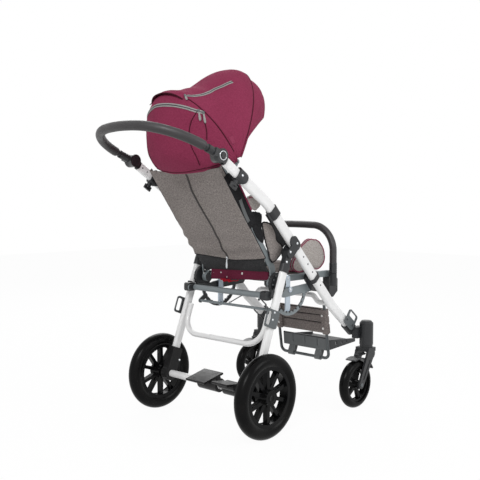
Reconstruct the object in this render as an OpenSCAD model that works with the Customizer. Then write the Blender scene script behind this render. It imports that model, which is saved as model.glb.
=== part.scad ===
// Special needs buggy: a push chair with an adjustable seat unit on a folding tube frame.
// Lengths are in millimetres. +X points forward, +Y to the rider's left and +Z up.
// Places are worked out from the rear axle and then centred on the whole buggy.

/* [Side frames] */
// Distance between the two side frames, middle to middle
frame_spacing = 444; // [430:2:460]
// Depth of the oval main tubes, seen from the side
tube_depth = 40; // [38:1:42]
// Width of the oval main tubes, across the buggy
tube_width = 22; // [21:0.5:23]
// Wall of the main tubes
tube_wall = 2; // [1.6:0.2:2.4]
// Radius of the bends in the main tubes
tube_bend = 150; // [110:10:200]
// Upper bend of the main tubes, ahead of the rear axle
upper_bend_x = 70; // [60:1:80]
// Upper bend of the main tubes, above the floor
upper_bend_z = 792; // [785:1:800]
// Lower bend of the main tubes, ahead of the rear axle
lower_bend_x = 440; // [430:1:450]
// Lower bend of the main tubes, above the floor
lower_bend_z = 400; // [394:1:406]
// Front end of the main tubes, ahead of the rear axle
tube_end_x = 566; // [560:1:572]
// Front end of the main tubes, above the floor
tube_end_z = 298; // [294:1:302]

/* [Rear frame] */
// Depth of the oval rear legs, seen from the side
leg_depth = 34; // [32:1:36]
// Width of the oval rear legs, across the buggy
leg_width = 20; // [18:0.5:21]
// Distance of the fold pivot below the main tube's middle line
fold_offset = 42; // [40:1:46]
// Diameter of the fold pivot pins
fold_pin_d = 10; // [8:0.5:12]
// Diameter of the bent tube between the rear legs
ubar_d = 20; // [18:0.5:22]
// Bend radius of the tube between the rear legs
ubar_bend = 70; // [55:5:85]
// Diameter of the rear axle beam
beam_d = 26; // [24:1:28]
// Diameter of the rear wheel axles
axle_d = 12; // [10:0.5:14]
// Width of the main brake pedal
pedal_w = 95; // [80:5:110]
// Length of the brake pedals behind the beam
pedal_len = 88; // [76:2:100]

/* [Rear wheels] */
// Diameter of the rear wheels
rear_d = 290; // [284:2:296]
// Distance between the rear wheels, middle to middle
rear_track = 555; // [548:1:570]
// Width of the rear tyres
rear_tyre_w = 50; // [44:1:52]
// Number of twin spokes in a rear wheel
rear_spokes = 5; // [4:1:6]

/* [Front casters] */
// Diameter of the caster wheels
caster_d = 185; // [180:1:190]
// Width of the caster tyres
caster_w = 38; // [34:1:40]
// Distance between the casters, middle to middle
caster_track = 548; // [540:1:560]
// Swivel axis of the casters, ahead of the rear axle
caster_x = 598; // [594:1:604]
// Distance of the caster wheel's axle behind the swivel axis
caster_trail = 74; // [68:1:78]
// Diameter of the caster housings
housing_d = 54; // [50:1:58]
// Diameter of the caster stems
stem_d = 20; // [18:0.5:22]

/* [Push handle] */
// Handle joints behind the rear axle
knuckle_back = 166; // [160:1:172]
// Handle joints above the floor
knuckle_z = 948; // [940:1:956]
// Diameter of the handle joints
knuckle_d = 46; // [42:1:50]
// Reach of the handle behind its joints
handle_reach = 244; // [234:1:254]
// Tilt of the handle, upwards to the rear
handle_tilt = 22.4; // [15:0.2:30]
// Diameter of the handle's steel tube
handle_tube_d = 22; // [20:0.5:24]
// Diameter of the foam grip
grip_d = 32; // [30:0.5:35]
// Corner radius of the handle
handle_corner = 180; // [170:2:190]
// Radius of the bowed rear stretch of the handle
handle_bow = 450; // [420:10:500]
// Diameter of the joint buttons
button_d = 22; // [18:0.5:24]
// Travel of the joint buttons
button_travel = 4; // [3:0.5:5]

/* [Seat carrier] */
// Tilt pivot of the seat, ahead of the rear axle
tilt_x = 232; // [228:1:238]
// Tilt pivot of the seat, above the floor
tilt_z = 480; // [476:1:484]
// Outer radius of the toothed tilt arc
arc_r = 96; // [92:1:98]
// Width of the toothed tilt arc
arc_w = 14; // [12:0.5:15]
// Number of lock notches in the tilt arc
arc_notches = 11; // [7:2:13]
// Thickness of the tilt plates
quad_t = 5; // [4:0.5:6]
// Diameter of the rear cross tube of the seat carrier
crossbar_d = 22; // [20:0.5:24]
// Diameter of the tie rod between the tilt plates
tie_rod_d = 10; // [8:0.5:12]

/* [Seat] */
// Recline hinge, ahead of the rear axle
recline_x = 152; // [148:1:156]
// Recline hinge, above the floor
recline_z = 508; // [505:1:512]
// Diameter of the fluted recliner covers
cover_d = 84; // [78:1:88]
// Height of the seat rails
rail_h = 24; // [22:1:26]
// Width of the seat rails
rail_w = 14; // [12:0.5:16]
// Length of the seat cushion
cushion_len = 280; // [264:2:282]
// Width of the seat cushion
cushion_w = 292; // [280:2:296]
// Thickness of the seat cushion at its crown
cushion_t = 52; // [44:1:58]
// Length of the side pads
side_pad_len = 186; // [176:2:196]
// Height of the side pads
side_pad_h = 160; // [150:2:166]
// Thickness of the side pads
side_pad_t = 26; // [22:1:28]

/* [Bumper bar] */
// Distance between the legs of the bumper bar, middle to middle
bumper_spacing = 386; // [382:1:390]
// Top of the bumper bar above the floor
bumper_top = 722; // [712:1:732]
// Corner radius of the bumper bar
bumper_bend = 100; // [90:2:110]
// Diameter of the bumper bar's foam
bumper_d = 28; // [26:0.5:29]
// Diameter of the bumper bar's tube
bumper_tube_d = 18; // [16:0.5:20]

/* [Backrest] */
// Lean of the backrest from upright
back_lean = 36; // [33:0.5:39]
// Height of the rear fabric panel
back_panel_h = 352; // [340:2:358]
// Width of the rear fabric panel
back_panel_w = 328; // [316:2:336]
// Bulge of the rear fabric panel at its middle
back_bulge = 22; // [16:1:26]
// Width of the back cushion
back_cushion_w = 292; // [280:2:296]
// Height of the back cushion
back_cushion_h = 380; // [360:5:390]
// Thickness of the back cushion at its crown
back_cushion_t = 46; // [38:1:50]

/* [Hood] */
// Half width of the hood at its front bow
hood_half_w = 190; // [186:1:194]
// Height of the front bow above the hood's pivots
hood_rise = 368; // [358:1:376]
// Thickness of the hood's padded cloth
hood_t = 5; // [4:0.5:6]
// Angle that the visor reaches ahead of the front bow
visor_angle = 32; // [26:1:36]

/* [Legrest] */
// Legrest hinge, ahead of the rear axle
legrest_x = 505; // [500:1:510]
// Legrest hinge, above the floor
legrest_z = 470; // [466:1:476]
// Length of the legrest from its hinge to its lower bar
legrest_len = 310; // [304:1:312]
// Forward swing of the legrest from hanging straight down
legrest_swing = 9; // [7:0.5:11]
// Distance between the legrest's tubes, middle to middle
legrest_w = 250; // [240:2:256]
// Diameter of the legrest's tube
legrest_d = 12; // [10:0.5:13]
// Length of the footplate
foot_len = 196; // [186:1:206]
// Height of the footplate's rear wall
foot_wall_h = 54; // [46:1:58]
// Width of the calf pad
calf_w = 262; // [256:1:266]
// Height of the calf pad
calf_h = 102; // [94:1:110]

/* [Hidden] */
$fn = 48;

// General clearances
overrun = 1;
slip = 0.15;
running = 0.05;
apart = 0.4;
half_right = 45;
right_angle = 90;
half_turn = 180;
full_turn = 360;

// Layers across the buggy, from the side frames inwards
frame_y = frame_spacing / 2;
tube_in = frame_y - tube_width / 2;
tube_out = frame_y + tube_width / 2;
leg_in = frame_y - leg_width / 2;
leg_out = frame_y + leg_width / 2;
ubar_washer = 2;
ubar_y = leg_in - ubar_washer - ubar_d / 2;
quad_gap = 4;
quad_out = ubar_y - ubar_d / 2 - quad_gap;
quad_in = quad_out - quad_t;
arm_gap = 3;
arm_t = 6;
arm_out = quad_in - arm_gap;
rail_out = arm_out - arm_t;
rail_in = rail_out - rail_w;

// Main tube line in the side view, as [forward, up]
knuckle = [-knuckle_back, knuckle_z];
upper_bend = [upper_bend_x, upper_bend_z];
lower_bend = [lower_bend_x, lower_bend_z];
tube_end = [tube_end_x, tube_end_z];
post_dir = unit(upper_bend - knuckle);
post_down = [post_dir.y, -post_dir.x];
main_dir = unit(lower_bend - upper_bend);
main_down = [main_dir.y, -main_dir.x];
end_dir = unit(tube_end - lower_bend);
tube_start = 118;
tube_top = knuckle + post_dir * tube_start;
post_bore_depth = tube_depth - 2 * tube_wall;
post_bore_width = tube_width - 2 * tube_wall;
post_depth = post_bore_depth - 2 * apart;
post_width = post_bore_width - 2 * apart;
post_socket = 140;
post_inside = 110;

// Fold pivot and rear leg line
fold_share = 0.372;
fold_point = between(upper_bend, lower_bend, fold_share);
fold_pivot = fold_point + main_down * fold_offset;
axle = [0, rear_d / 2];
leg_dir = unit(axle - fold_pivot);
leg_lean = right_angle - heading(axle, fold_pivot);
leg_top = 45;
leg_socket = 62;
tongue_r = 15;
cap_wall = 3;
cap_len = 26;

function unit(v) = v / norm(v);
function heading(p, q) = atan2(q.y - p.y, q.x - p.x);
function between(p, q, share) = p + (q - p) * share;
function polar(angle, radius) = [radius * cos(angle), radius * sin(angle)];
function left_of(v) = [-v.y, v.x];
function turn_at(p, q, r) = (heading(q, r) - heading(p, q) + full_turn + half_turn) % full_turn - half_turn;
function clamped(value) = min(1, max(0, value));
function tube_x_at(z) = upper_bend.x + (upper_bend.y - z) * main_dir.x / -main_dir.y;

// Side view drawings: a flat outline between two distances across the buggy
module slab(y_low, y_high)
  translate([0, y_high, 0])
    rotate([right_angle, 0, 0])
      linear_extrude(y_high - y_low)
        children();

module side_plane(y)
  translate([0, y, 0])
    rotate([right_angle, 0, 0])
      children();

// Drawing whose first axis runs across the buggy and whose second axis runs up
module cross_plane(x)
  translate([x, 0, 0])
    rotate([right_angle, 0, right_angle])
      children();

module both_sides() {
  children();
  mirror([0, 1, 0])
    children();
}

module right_side()
  mirror([0, 1, 0])
    children();

module oval(length, width) {
  square([length - width, width], center = true);
  for (side = [-1, 1])
    translate([side * (length - width) / 2, 0])
      circle(d = width);
}

waist_share = 0.997;
module capsule(p, q, radius) {
  for (end = [p, q])
    translate(end)
      circle(radius);
  translate(p)
    rotate(heading(p, q))
      translate([0, -radius * waist_share])
        square([norm(q - p), 2 * radius * waist_share]);
}

module rounded(length, width, radius) {
  square([length - 2 * radius, width], center = true);
  square([length, width - 2 * radius], center = true);
  for (across = [-1, 1], along = [-1, 1])
    translate([across * (length / 2 - radius), along * (width / 2 - radius)])
      circle(radius);
}

// One straight stretch of a bar, drawn flat, with its section as the child
module straight_bar(p, q)
  translate(p)
    rotate(heading(p, q))
      rotate([right_angle, 0, right_angle])
        linear_extrude(norm(q - p))
          children();

// A flat bent bar along corner points, with one bend radius for each point.
// Bends are a hair thicker than the straights, which end just inside them.
bend_swell_share = 1.004;
bend_lap = 0.5;
module bent_bar(points, radii) {
  last = len(points) - 1;
  turns = [for (i = [0:last]) i == 0 || i == last ? 0 : turn_at(points[i - 1], points[i], points[i + 1])];
  setbacks = [for (i = [0:last]) radii[i] * tan(abs(turns[i]) / 2)];
  for (i = [0:last - 1]) {
    ahead = unit(points[i + 1] - points[i]);
    lap_from = i == 0 ? 0 : bend_lap;
    lap_to = i == last - 1 ? 0 : bend_lap;
    straight_bar(points[i] + ahead * (setbacks[i] - lap_from),
          points[i + 1] - ahead * (setbacks[i + 1] - lap_to))
      children();
  }
  for (i = [1:last - 1]) {
    back = unit(points[i] - points[i - 1]);
    side = sign(turns[i]);
    centre = points[i] - back * setbacks[i] + left_of(back) * side * radii[i];
    start = heading(points[i - 1], points[i]) - side * right_angle;
    translate(centre)
      rotate(side > 0 ? start : start - abs(turns[i]))
        rotate_extrude(angle = abs(turns[i]))
          translate([radii[i], 0])
            scale(bend_swell_share)
              children();
  }
}

// A closed skin between two grids of points, used for pads and for the hood's cloth
module skin(outer, inner) {
  rows = len(outer);
  cols = len(outer[0]);
  count = rows * cols;
  points = concat([for (row = outer) each row], [for (row = inner) each row]);
  function id(i, j, layer) = layer * count + i * cols + j;
  function quad(a, b, c, d) = [[a, b, c], [a, c, d]];
  faces = concat(
    [for (i = [0:rows - 2], j = [0:cols - 2])
      each quad(id(i, j, 0), id(i, j + 1, 0), id(i + 1, j + 1, 0), id(i + 1, j, 0))],
    [for (i = [0:rows - 2], j = [0:cols - 2])
      each quad(id(i, j, 1), id(i + 1, j, 1), id(i + 1, j + 1, 1), id(i, j + 1, 1))],
    [for (j = [0:cols - 2])
      each quad(id(0, j, 1), id(0, j + 1, 1), id(0, j + 1, 0), id(0, j, 0))],
    [for (j = [0:cols - 2])
      each quad(id(rows - 1, j, 0), id(rows - 1, j + 1, 0),
           id(rows - 1, j + 1, 1), id(rows - 1, j, 1))],
    [for (i = [0:rows - 2])
      each quad(id(i, 0, 0), id(i + 1, 0, 0), id(i + 1, 0, 1), id(i, 0, 1))],
    [for (i = [0:rows - 2])
      each quad(id(i, cols - 1, 1), id(i + 1, cols - 1, 1),
           id(i + 1, cols - 1, 0), id(i, cols - 1, 0))]
  );
  polyhedron(points, faces);
}

// A pad over a square grid: roundness 0 keeps square corners, 1 makes a full ellipse.
// Its sides are drawn in between the corners and its two faces rise to a crown.
pad_steps = 12;
pad_range = [-1:2 / pad_steps:1];
small_range = [-1:4 / pad_steps:1];
crown_power = 4;
function crown(a, b) = (1 - pow(abs(a), crown_power)) * (1 - pow(abs(b), crown_power));
function pad_grid(size, roundness, draw_in, low, high, range = pad_range) = [for (a = range)
  [for (b = range)
  [size.x / 2 * a * sqrt(1 - roundness * b * b / 2) * (1 - draw_in * (1 - b * b) * a * a),
  size.y / 2 * b * sqrt(1 - roundness * a * a / 2) * (1 - draw_in * (1 - a * a) * b * b),
  low + (high - low) * crown(a, b)]]];

// Main tubes
module main_tube() {
  color("white")
    difference() {
      side_plane(frame_y)
        bent_bar([tube_top, upper_bend, lower_bend, tube_end], [0, tube_bend, tube_bend, 0])
          oval(tube_depth, tube_width);
      side_plane(frame_y)
        straight_bar(tube_top - post_dir * overrun, tube_top + post_dir * post_socket)
          oval(post_bore_depth, post_bore_width);
    }
}

// Height clamps round the tops of the main tubes
clamp_wall = 5;
clamp_low = 98;
clamp_high = 142;
clamp_screw_at = 108;
clamp_screw_point = knuckle + post_dir * clamp_screw_at;
clamp_boss_d = 18;
clamp_boss_reach = 34;
screw_d = 8;
clamp_end_r = tube_depth / 2 + clamp_wall + overrun;
module height_clamps() {
  color("dimgray")
    both_sides()
      difference() {
        union() {
          intersection() {
            side_plane(frame_y)
              straight_bar(knuckle + post_dir * clamp_low, knuckle + post_dir * clamp_high)
                oval(tube_depth + 2 * clamp_wall, tube_width + 2 * clamp_wall);
            slab(tube_in - 2 * clamp_wall, tube_out + 2 * clamp_wall)
              capsule(knuckle + post_dir * clamp_low, knuckle + post_dir * (clamp_high - clamp_end_r),
                  clamp_end_r);
          }
          side_plane(frame_y)
            straight_bar(clamp_screw_point, clamp_screw_point + post_down * clamp_boss_reach)
              circle(d = clamp_boss_d);
        }
        side_plane(frame_y) {
          straight_bar(knuckle + post_dir * (clamp_low - overrun), tube_top + post_dir * overrun)
            oval(post_depth + 2 * apart, post_width + 2 * apart);
          straight_bar(tube_top, knuckle + post_dir * (clamp_high + overrun))
            oval(tube_depth + 2 * slip, tube_width + 2 * slip);
          straight_bar(clamp_screw_point,
                clamp_screw_point + post_down * (clamp_boss_reach + overrun))
            circle(d = screw_d + 2 * running);
        }
      }
}

// Thumb screws of the height clamps
wing_len = 34;
wing_t = 8;
wing_h = 16;
module clamp_screw() {
  tip = post_depth / 2 + apart;
  seat = clamp_boss_reach + apart;
  at = clamp_screw_point;
  color("black")
    side_plane(frame_y) {
      straight_bar(at + post_down * tip, at + post_down * (seat + wing_h))
        circle(d = screw_d);
      straight_bar(at + post_down * seat, at + post_down * (seat + wing_h))
        oval(wing_len, wing_t);
      straight_bar(at + post_down * seat, at + post_down * (seat + wing_h / 2))
        circle(d = 2 * screw_d);
    }
}

// Clamps below the upper bend, which hold the fabric's straps
mid_clamp_at = 40;
mid_clamp_len = 36;
mid_clamp_wall = 4;
module mid_clamps() {
  from = upper_bend + main_dir * (mid_clamp_at - mid_clamp_len / 2);
  to = upper_bend + main_dir * (mid_clamp_at + mid_clamp_len / 2);
  color("dimgray")
    both_sides()
      side_plane(frame_y)
        difference() {
          union() {
            straight_bar(from, to)
              oval(tube_depth + 2 * mid_clamp_wall, tube_width + 2 * mid_clamp_wall);
            straight_bar(from + main_down * tube_depth / 2, to + main_down * tube_depth / 2)
              square([tube_width, tube_width / 2], center = true);
          }
          straight_bar(from - main_dir * overrun, to + main_dir * overrun)
            oval(tube_depth + 2 * slip, tube_width + 2 * slip);
        }
}

// Brackets that carry the rear legs' fold pivots
bracket_t = 5;
bracket_r = 18;
module fold_brackets() {
  color("black")
    both_sides() {
      for (low = [tube_in - bracket_t, tube_out])
        slab(low, low + bracket_t) {
          capsule(fold_point, fold_pivot, bracket_r);
          capsule(fold_point, fold_point - main_dir * bracket_r, tube_depth / 2);
        }
      slab(tube_in - bracket_t, tube_out + bracket_t)
        translate(fold_pivot)
          circle(d = fold_pin_d);
    }
}

// Front swivel housings with the sockets for the main tubes
caster_y = caster_track / 2;
wheel_x = caster_x - caster_trail;
caster_r = caster_d / 2;
housing_low = 238;
housing_high = 323;
housing_dome = 9;
housing_dome_share = 0.72;
stem_top = 314;
socket_wall = 5;
socket_len = 46;
socket_end = 8;
bridge_r = 12;
bridge_low = 26;
bridge_h = 44;
bridge_stop_share = 0.65;
notch_d = 9;
notch_depth = 8;
notch_r = 18.5;
notch_count = 4;
module caster_housings() {
  color("black")
    both_sides() {
      difference() {
        side_plane(frame_y)
          straight_bar(tube_end - end_dir * socket_len, tube_end + end_dir * socket_end)
            oval(tube_depth + 2 * socket_wall, tube_width + 2 * socket_wall);
        side_plane(frame_y)
          straight_bar(tube_end - end_dir * (socket_len + overrun), tube_end)
            oval(tube_depth + 2 * slip, tube_width + 2 * slip);
      }
      slab(tube_out + socket_wall / 2, caster_y - stem_d * bridge_stop_share)
        translate([0, housing_low + bridge_low])
          polygon([[tube_end_x - bridge_r, 0], [caster_x, 0], [caster_x, bridge_h],
              [tube_end_x - bridge_r, bridge_h]]);
      difference() {
        translate([caster_x, caster_y, housing_low]) {
          cylinder(h = housing_high - housing_low, d = housing_d);
          translate([0, 0, housing_high - housing_low])
            cylinder(h = housing_dome, d1 = housing_d, d2 = housing_d * housing_dome_share);
        }
        translate([caster_x, caster_y, housing_low - overrun])
          cylinder(h = stem_top + 2 * overrun - housing_low, d = stem_d + 2 * running);
        for (k = [0:notch_count - 1])
          translate([caster_x, caster_y, housing_low - overrun])
            rotate(k * full_turn / notch_count)
              translate([notch_r, 0, 0])
                cylinder(h = notch_depth + overrun, d = notch_d);
      }
    }
}

// Arched cross tube between the main tubes, ahead of the seat carrier
front_bar_d = 20;
front_bar_z = 412;
front_bar_rise = 26;
front_bar_foot = 46;
front_bar_ramp = 25;
front_bar_bend = 24;
module front_crossbar() {
  foot = tube_in - front_bar_foot;
  top = foot - front_bar_ramp;
  high = front_bar_z + front_bar_rise;
  color("white")
    cross_plane(tube_x_at(front_bar_z))
      bent_bar([[-tube_in, front_bar_z], [-foot, front_bar_z], [-top, high],
           [top, high], [foot, front_bar_z], [tube_in, front_bar_z]],
          [0, front_bar_bend, front_bar_bend, front_bar_bend, front_bar_bend, 0])
        circle(d = front_bar_d);
}

// Transport tie-down loops: a bolted plate with an open loop beside it
tie_t = 5;
tie_len = 64;
tie_plate = 34;
tie_loop = 30;
tie_rim = 8;
tie_round = 10;
tie_front_share = 0.72;
tie_rear_at = 262;
module tie_down() {
  translate([0, tie_loop / 2])
    difference() {
      rounded(tie_len, tie_plate + tie_loop, tie_round);
      translate([0, tie_plate / 2])
        rounded(tie_len - 2 * tie_rim, tie_loop - tie_rim, tie_round - tie_rim / 2);
    }
}

module tie_downs_front() {
  color("dimgray")
    both_sides()
      slab(tube_out + socket_wall, tube_out + socket_wall + tie_t)
        translate(between(lower_bend, tube_end, tie_front_share))
          rotate(heading(lower_bend, tube_end))
            tie_down();
}

module tie_downs_rear() {
  color("dimgray")
    both_sides()
      slab(leg_out, leg_out + tie_t)
        translate(axle - leg_dir * tie_rear_at)
          rotate(heading(axle, fold_pivot))
            tie_down();
}

// Tilt plates: a bar from the main tube to the rear cross tube, over a toothed half ring
tilt = [tilt_x, tilt_z];
tilt_pin_d = 12;
quad_front = [tube_x_at(tilt_z), tilt_z];
crossbar = [100, 470];
rod = [130, 415];
quad_front_r = 16;
quad_rear_r = 12;
quad_rear_reach = 22;
quad_step = [200, 469];
rod_lug_r = 9;
notch_slot_d = 7;
notch_first = 205;
notch_span = 130;
notch_step = notch_span / (arc_notches - 1);
module tilt_quadrants() {
  color("slategray")
    both_sides()
      slab(quad_in, quad_out)
        difference() {
          union() {
            capsule(quad_step, quad_front, quad_front_r);
            capsule(crossbar - [quad_rear_reach, 0], quad_step, quad_rear_r);
            translate(tilt)
              difference() {
                circle(arc_r);
                circle(arc_r - arc_w);
                translate([-2 * arc_r, 0])
                  square([4 * arc_r, 2 * arc_r]);
              }
            capsule(rod, tilt + polar(heading(tilt, rod), arc_r - arc_w / 2), rod_lug_r);
          }
          translate(tilt)
            circle(d = tilt_pin_d + 2 * running);
          for (k = [0:arc_notches - 1])
            translate(tilt + polar(notch_first + notch_step * k, arc_r - arc_w))
              circle(d = notch_slot_d);
        }
}

module carrier_bars() {
  color("slategray") {
    slab(-quad_in, quad_in)
      translate(crossbar)
        circle(d = crossbar_d);
    slab(-quad_in, quad_in)
      translate(rod)
        circle(d = tie_rod_d);
  }
}

// Black mounts: blocks beside the rear legs with lips behind them, and clips from the main tubes
// to the tilt plates
hook_size = [34, 32];
hook_round = 8;
hook_shift = [-13.5, 2];
lip_len = 26;
lip_depth = 14;
lip_reach = 7;
lip_in = 206;
mount_up = 52;
mount_r = 17;
clip_len = 16;
clip_wall = 4;
module carrier_mounts() {
  leg_up = -leg_dir;
  hook_at = (crossbar.y - axle.y) / leg_up.y;
  hook_mid = axle + leg_up * hook_at;
  mount_top = quad_front - main_dir * mount_up;
  color("black")
    both_sides() {
      slab(quad_out, leg_in - apart)
        translate(crossbar + hook_shift)
          rounded(hook_size.x, hook_size.y, hook_round);
      slab(lip_in, leg_in + lip_reach)
        translate(hook_mid)
          rotate(heading(axle, fold_pivot))
            translate([-lip_len / 2, leg_depth / 2 + apart])
              square([lip_len, lip_depth]);
      slab(quad_out, tube_in)
        capsule(quad_front, mount_top, mount_r);
      side_plane(frame_y)
        difference() {
          straight_bar(mount_top - main_dir * clip_len / 2, mount_top + main_dir * clip_len / 2)
            oval(tube_depth + 2 * clip_wall, tube_width + 2 * clip_wall);
          straight_bar(mount_top - main_dir * clip_len, mount_top + main_dir * clip_len)
            oval(tube_depth + 2 * slip, tube_width + 2 * slip);
        }
    }
}

// Thin cable from the tie rod to the right tilt plate, along points chosen by hand
cable_d = 4;
cable_sides = 8;
cable_points = [[130, 24, 422], [128, 10, 428], [125, -15, 440], [122, -45, 454], [120, -75, 464],
  [120, -100, 469], [121, -125, 469], [124, -145, 466], [129, -162, 463], [134, -173, 461],
  [137, -180, 460]];
function cable_ring(k) = let (
    last = len(cable_points) - 1,
    ahead = unit(cable_points[min(k + 1, last)] - cable_points[max(k - 1, 0)]),
    across = unit(cross([1, 0, 0], ahead)),
    up = cross(ahead, across))
  [for (s = [0:cable_sides]) cable_points[k]
    + across * cable_d / 2 * cos(full_turn * s / cable_sides)
    + up * cable_d / 2 * sin(full_turn * s / cable_sides)];
module release_cable() {
  rings = [for (k = [0:len(cable_points) - 1]) cable_ring(k)];
  count = len(rings);
  points = [for (ring = rings) for (s = [0:cable_sides - 1]) ring[s]];
  function id(k, s) = k * cable_sides + s % cable_sides;
  walls = [for (k = [0:count - 2], s = [0:cable_sides - 1])
    each [[id(k, s), id(k + 1, s), id(k + 1, s + 1)], [id(k, s), id(k + 1, s + 1), id(k, s + 1)]]];
  caps = [[for (s = [0:cable_sides - 1]) id(0, s)], [for (s = [cable_sides - 1:-1:0]) id(count - 1, s)]];
  color("black")
    polyhedron(points, concat(walls, caps));
}

// Rear legs and their top fittings
module rear_leg() {
  color("white")
    side_plane(frame_y)
      straight_bar(fold_pivot + leg_dir * leg_top, axle - leg_dir * leg_socket)
        oval(leg_depth, leg_width);
}

module leg_caps() {
  color("black")
    both_sides()
      difference() {
        union() {
          side_plane(frame_y)
            straight_bar(fold_pivot + leg_dir * (leg_top - cap_wall),
                  fold_pivot + leg_dir * (leg_top + cap_len))
              oval(leg_depth + 2 * cap_wall, leg_width + 2 * cap_wall);
          slab(leg_in + slip, leg_out - slip)
            capsule(fold_pivot, fold_pivot + leg_dir * leg_top, tongue_r);
        }
        side_plane(frame_y)
          straight_bar(fold_pivot + leg_dir * leg_top,
                fold_pivot + leg_dir * (leg_top + cap_len + overrun))
            oval(leg_depth + 2 * slip, leg_width + 2 * slip);
        slab(leg_in - overrun, leg_out + overrun)
          translate(fold_pivot)
            circle(d = fold_pin_d + 2 * running);
      }
}

// Bent tube between the rear legs, in the legs' own plane
ubar_low = 163;
ubar_high = 277;
ubar_bolt_d = 8;
ubar_bolt_at_shares = [0.62, 0.94];
module leg_plane()
  translate([axle.x, 0, axle.y])
    rotate([0, leg_lean, 0])
      cross_plane(0)
        children();

module u_crossbar() {
  color("white")
    leg_plane() {
      bent_bar([[-ubar_y, ubar_high], [-ubar_y, ubar_low], [ubar_y, ubar_low], [ubar_y, ubar_high]],
          [0, ubar_bend, ubar_bend, 0])
        circle(d = ubar_d);
      for (share = ubar_bolt_at_shares, side = [-1, 1])
        straight_bar([side * ubar_y, between([0, ubar_low], [0, ubar_high], share).y],
              [side * leg_in, between([0, ubar_low], [0, ubar_high], share).y])
          circle(d = ubar_bolt_d);
    }
}

// Rear axle beam and the holders at the feet of the legs
holder_wall = 5;
holder_in = leg_in - holder_wall;
holder_out = leg_out + holder_wall;
holder_r = 28;
holder_w = 46;
holder_len = 100;
holder_boss_d = 36;
rear_y = rear_track / 2;
hub_overhang = 1;
hub_w = rear_tyre_w + 2 * hub_overhang;
hub_in = rear_y - hub_w / 2;
hub_cap_t = 4;
axle_end = rear_y + hub_w / 2 - hub_cap_t - apart;
module axle_beam() {
  color("white") {
    slab(-holder_in, holder_in)
      translate(axle)
        circle(d = beam_d);
    slab(-axle_end, axle_end)
      translate(axle)
        circle(d = axle_d);
  }
}

module axle_holders() {
  color("black")
    both_sides()
      difference() {
        union() {
          slab(holder_in, holder_out) {
            translate(axle)
              circle(holder_r);
            translate(axle)
              rotate(heading(axle, fold_pivot))
                translate([0, -holder_w / 2])
                  square([holder_len, holder_w]);
          }
          slab(holder_in, hub_in - apart)
            translate(axle)
              circle(d = holder_boss_d);
        }
        side_plane(frame_y)
          straight_bar(axle - leg_dir * leg_socket, axle - leg_dir * (holder_len + overrun))
            oval(leg_depth + 2 * slip, leg_width + 2 * slip);
        slab(holder_in - overrun, hub_in + overrun)
          translate(axle)
            circle(d = axle_d + 2 * running);
      }
}

// Brake pedals on the axle beam: a sloping plate on a neck over a drum
drum_d = 50;
pedal_t = 8;
pedal_neck_r = 13;
pedal_neck_share = 0.25;
pedal_front = [12, 40];
pedal_fall = 20;
pedal_y = -10;
release_front = [-18, 24];
release_fall = -6;
release_y = -128;
release_w = 76;
release_len_share = 0.62;
module pedal(front, length, fall, width) {
  rear = front - [length, fall];
  neck = between(front, rear, pedal_neck_share) - [0, pedal_neck_r - pedal_t / 2];
  slab(-width / 2, width / 2)
    difference() {
      union() {
        translate(axle)
          circle(d = drum_d);
        capsule(axle, axle + neck, pedal_neck_r);
        capsule(axle + front, axle + rear, pedal_t / 2);
      }
      translate(axle)
        circle(d = beam_d + 2 * running);
    }
}

module brake_pedal() {
  color("black")
    translate([0, pedal_y, 0])
      pedal(pedal_front, pedal_len, pedal_fall, pedal_w);
}

module release_pedal() {
  color("dimgray")
    translate([0, release_y, 0])
      pedal(release_front, pedal_len * release_len_share, release_fall, release_w);
}

// Rear wheels: tyre and a rim with twin spokes
rear_tyre_h = 41;
rear_bed_r = rear_d / 2 - rear_tyre_h;
rear_rim_t = 11;
rear_rim_w = 38;
hub_d = 54;
spoke_hub_w = 15;
spoke_rim_w = 12;
spoke_t = 20;
spoke_hub_angle = 12;
spoke_rim_angle = 17;
rim_lip = 4;
module rear_place()
  translate([axle.x, rear_y, axle.y])
    rotate([-right_angle, 0, 0])
      children();

module tyre(outer_d, width, bed_r)
  rotate_extrude($fn = 96)
    difference() {
      translate([outer_d / 2 - width / 2, 0])
        circle(d = width);
      translate([0, -width])
        square([bed_r, 2 * width]);
    }

module rim_ring(bed_r, ring_t, width)
  rotate_extrude($fn = 96) {
    translate([bed_r - ring_t, -width / 2])
      square([ring_t - slip, width]);
    for (side = [-1, 1])
      translate([bed_r - ring_t, side * (width / 2 - rim_lip / 2)])
        circle(d = rim_lip);
  }

module spoke(from_r, to_r, from_w, to_w, from_angle, to_angle)
  polygon([polar(from_angle, from_r) + left_of(unit(polar(from_angle, 1))) * from_w / 2,
      polar(from_angle, from_r) - left_of(unit(polar(from_angle, 1))) * from_w / 2,
      polar(to_angle, to_r) - left_of(unit(polar(to_angle, 1))) * to_w / 2,
      polar(to_angle, to_r) + left_of(unit(polar(to_angle, 1))) * to_w / 2]);

module rear_tyre() {
  color("black")
    rear_place()
      tyre(rear_d, rear_tyre_w, rear_bed_r);
}

module rear_rim() {
  hub_r_share = 0.8;
  color("black")
    rear_place()
      difference() {
        union() {
          rim_ring(rear_bed_r, rear_rim_t, rear_rim_w);
          translate([0, 0, -hub_w / 2])
            cylinder(h = hub_w, d = hub_d);
          for (k = [0:rear_spokes - 1], side = [-1, 1])
            rotate(k * full_turn / rear_spokes)
              translate([0, 0, -spoke_t / 2])
                linear_extrude(spoke_t)
                  spoke(hub_d / 2 * hub_r_share, rear_bed_r - rear_rim_t / 2,
                     spoke_hub_w, spoke_rim_w,
                     side * spoke_hub_angle, side * spoke_rim_angle);
        }
        translate([0, 0, -hub_w / 2 - overrun])
          cylinder(h = hub_w - hub_cap_t + overrun, d = axle_d + 2 * running);
      }
}

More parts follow.
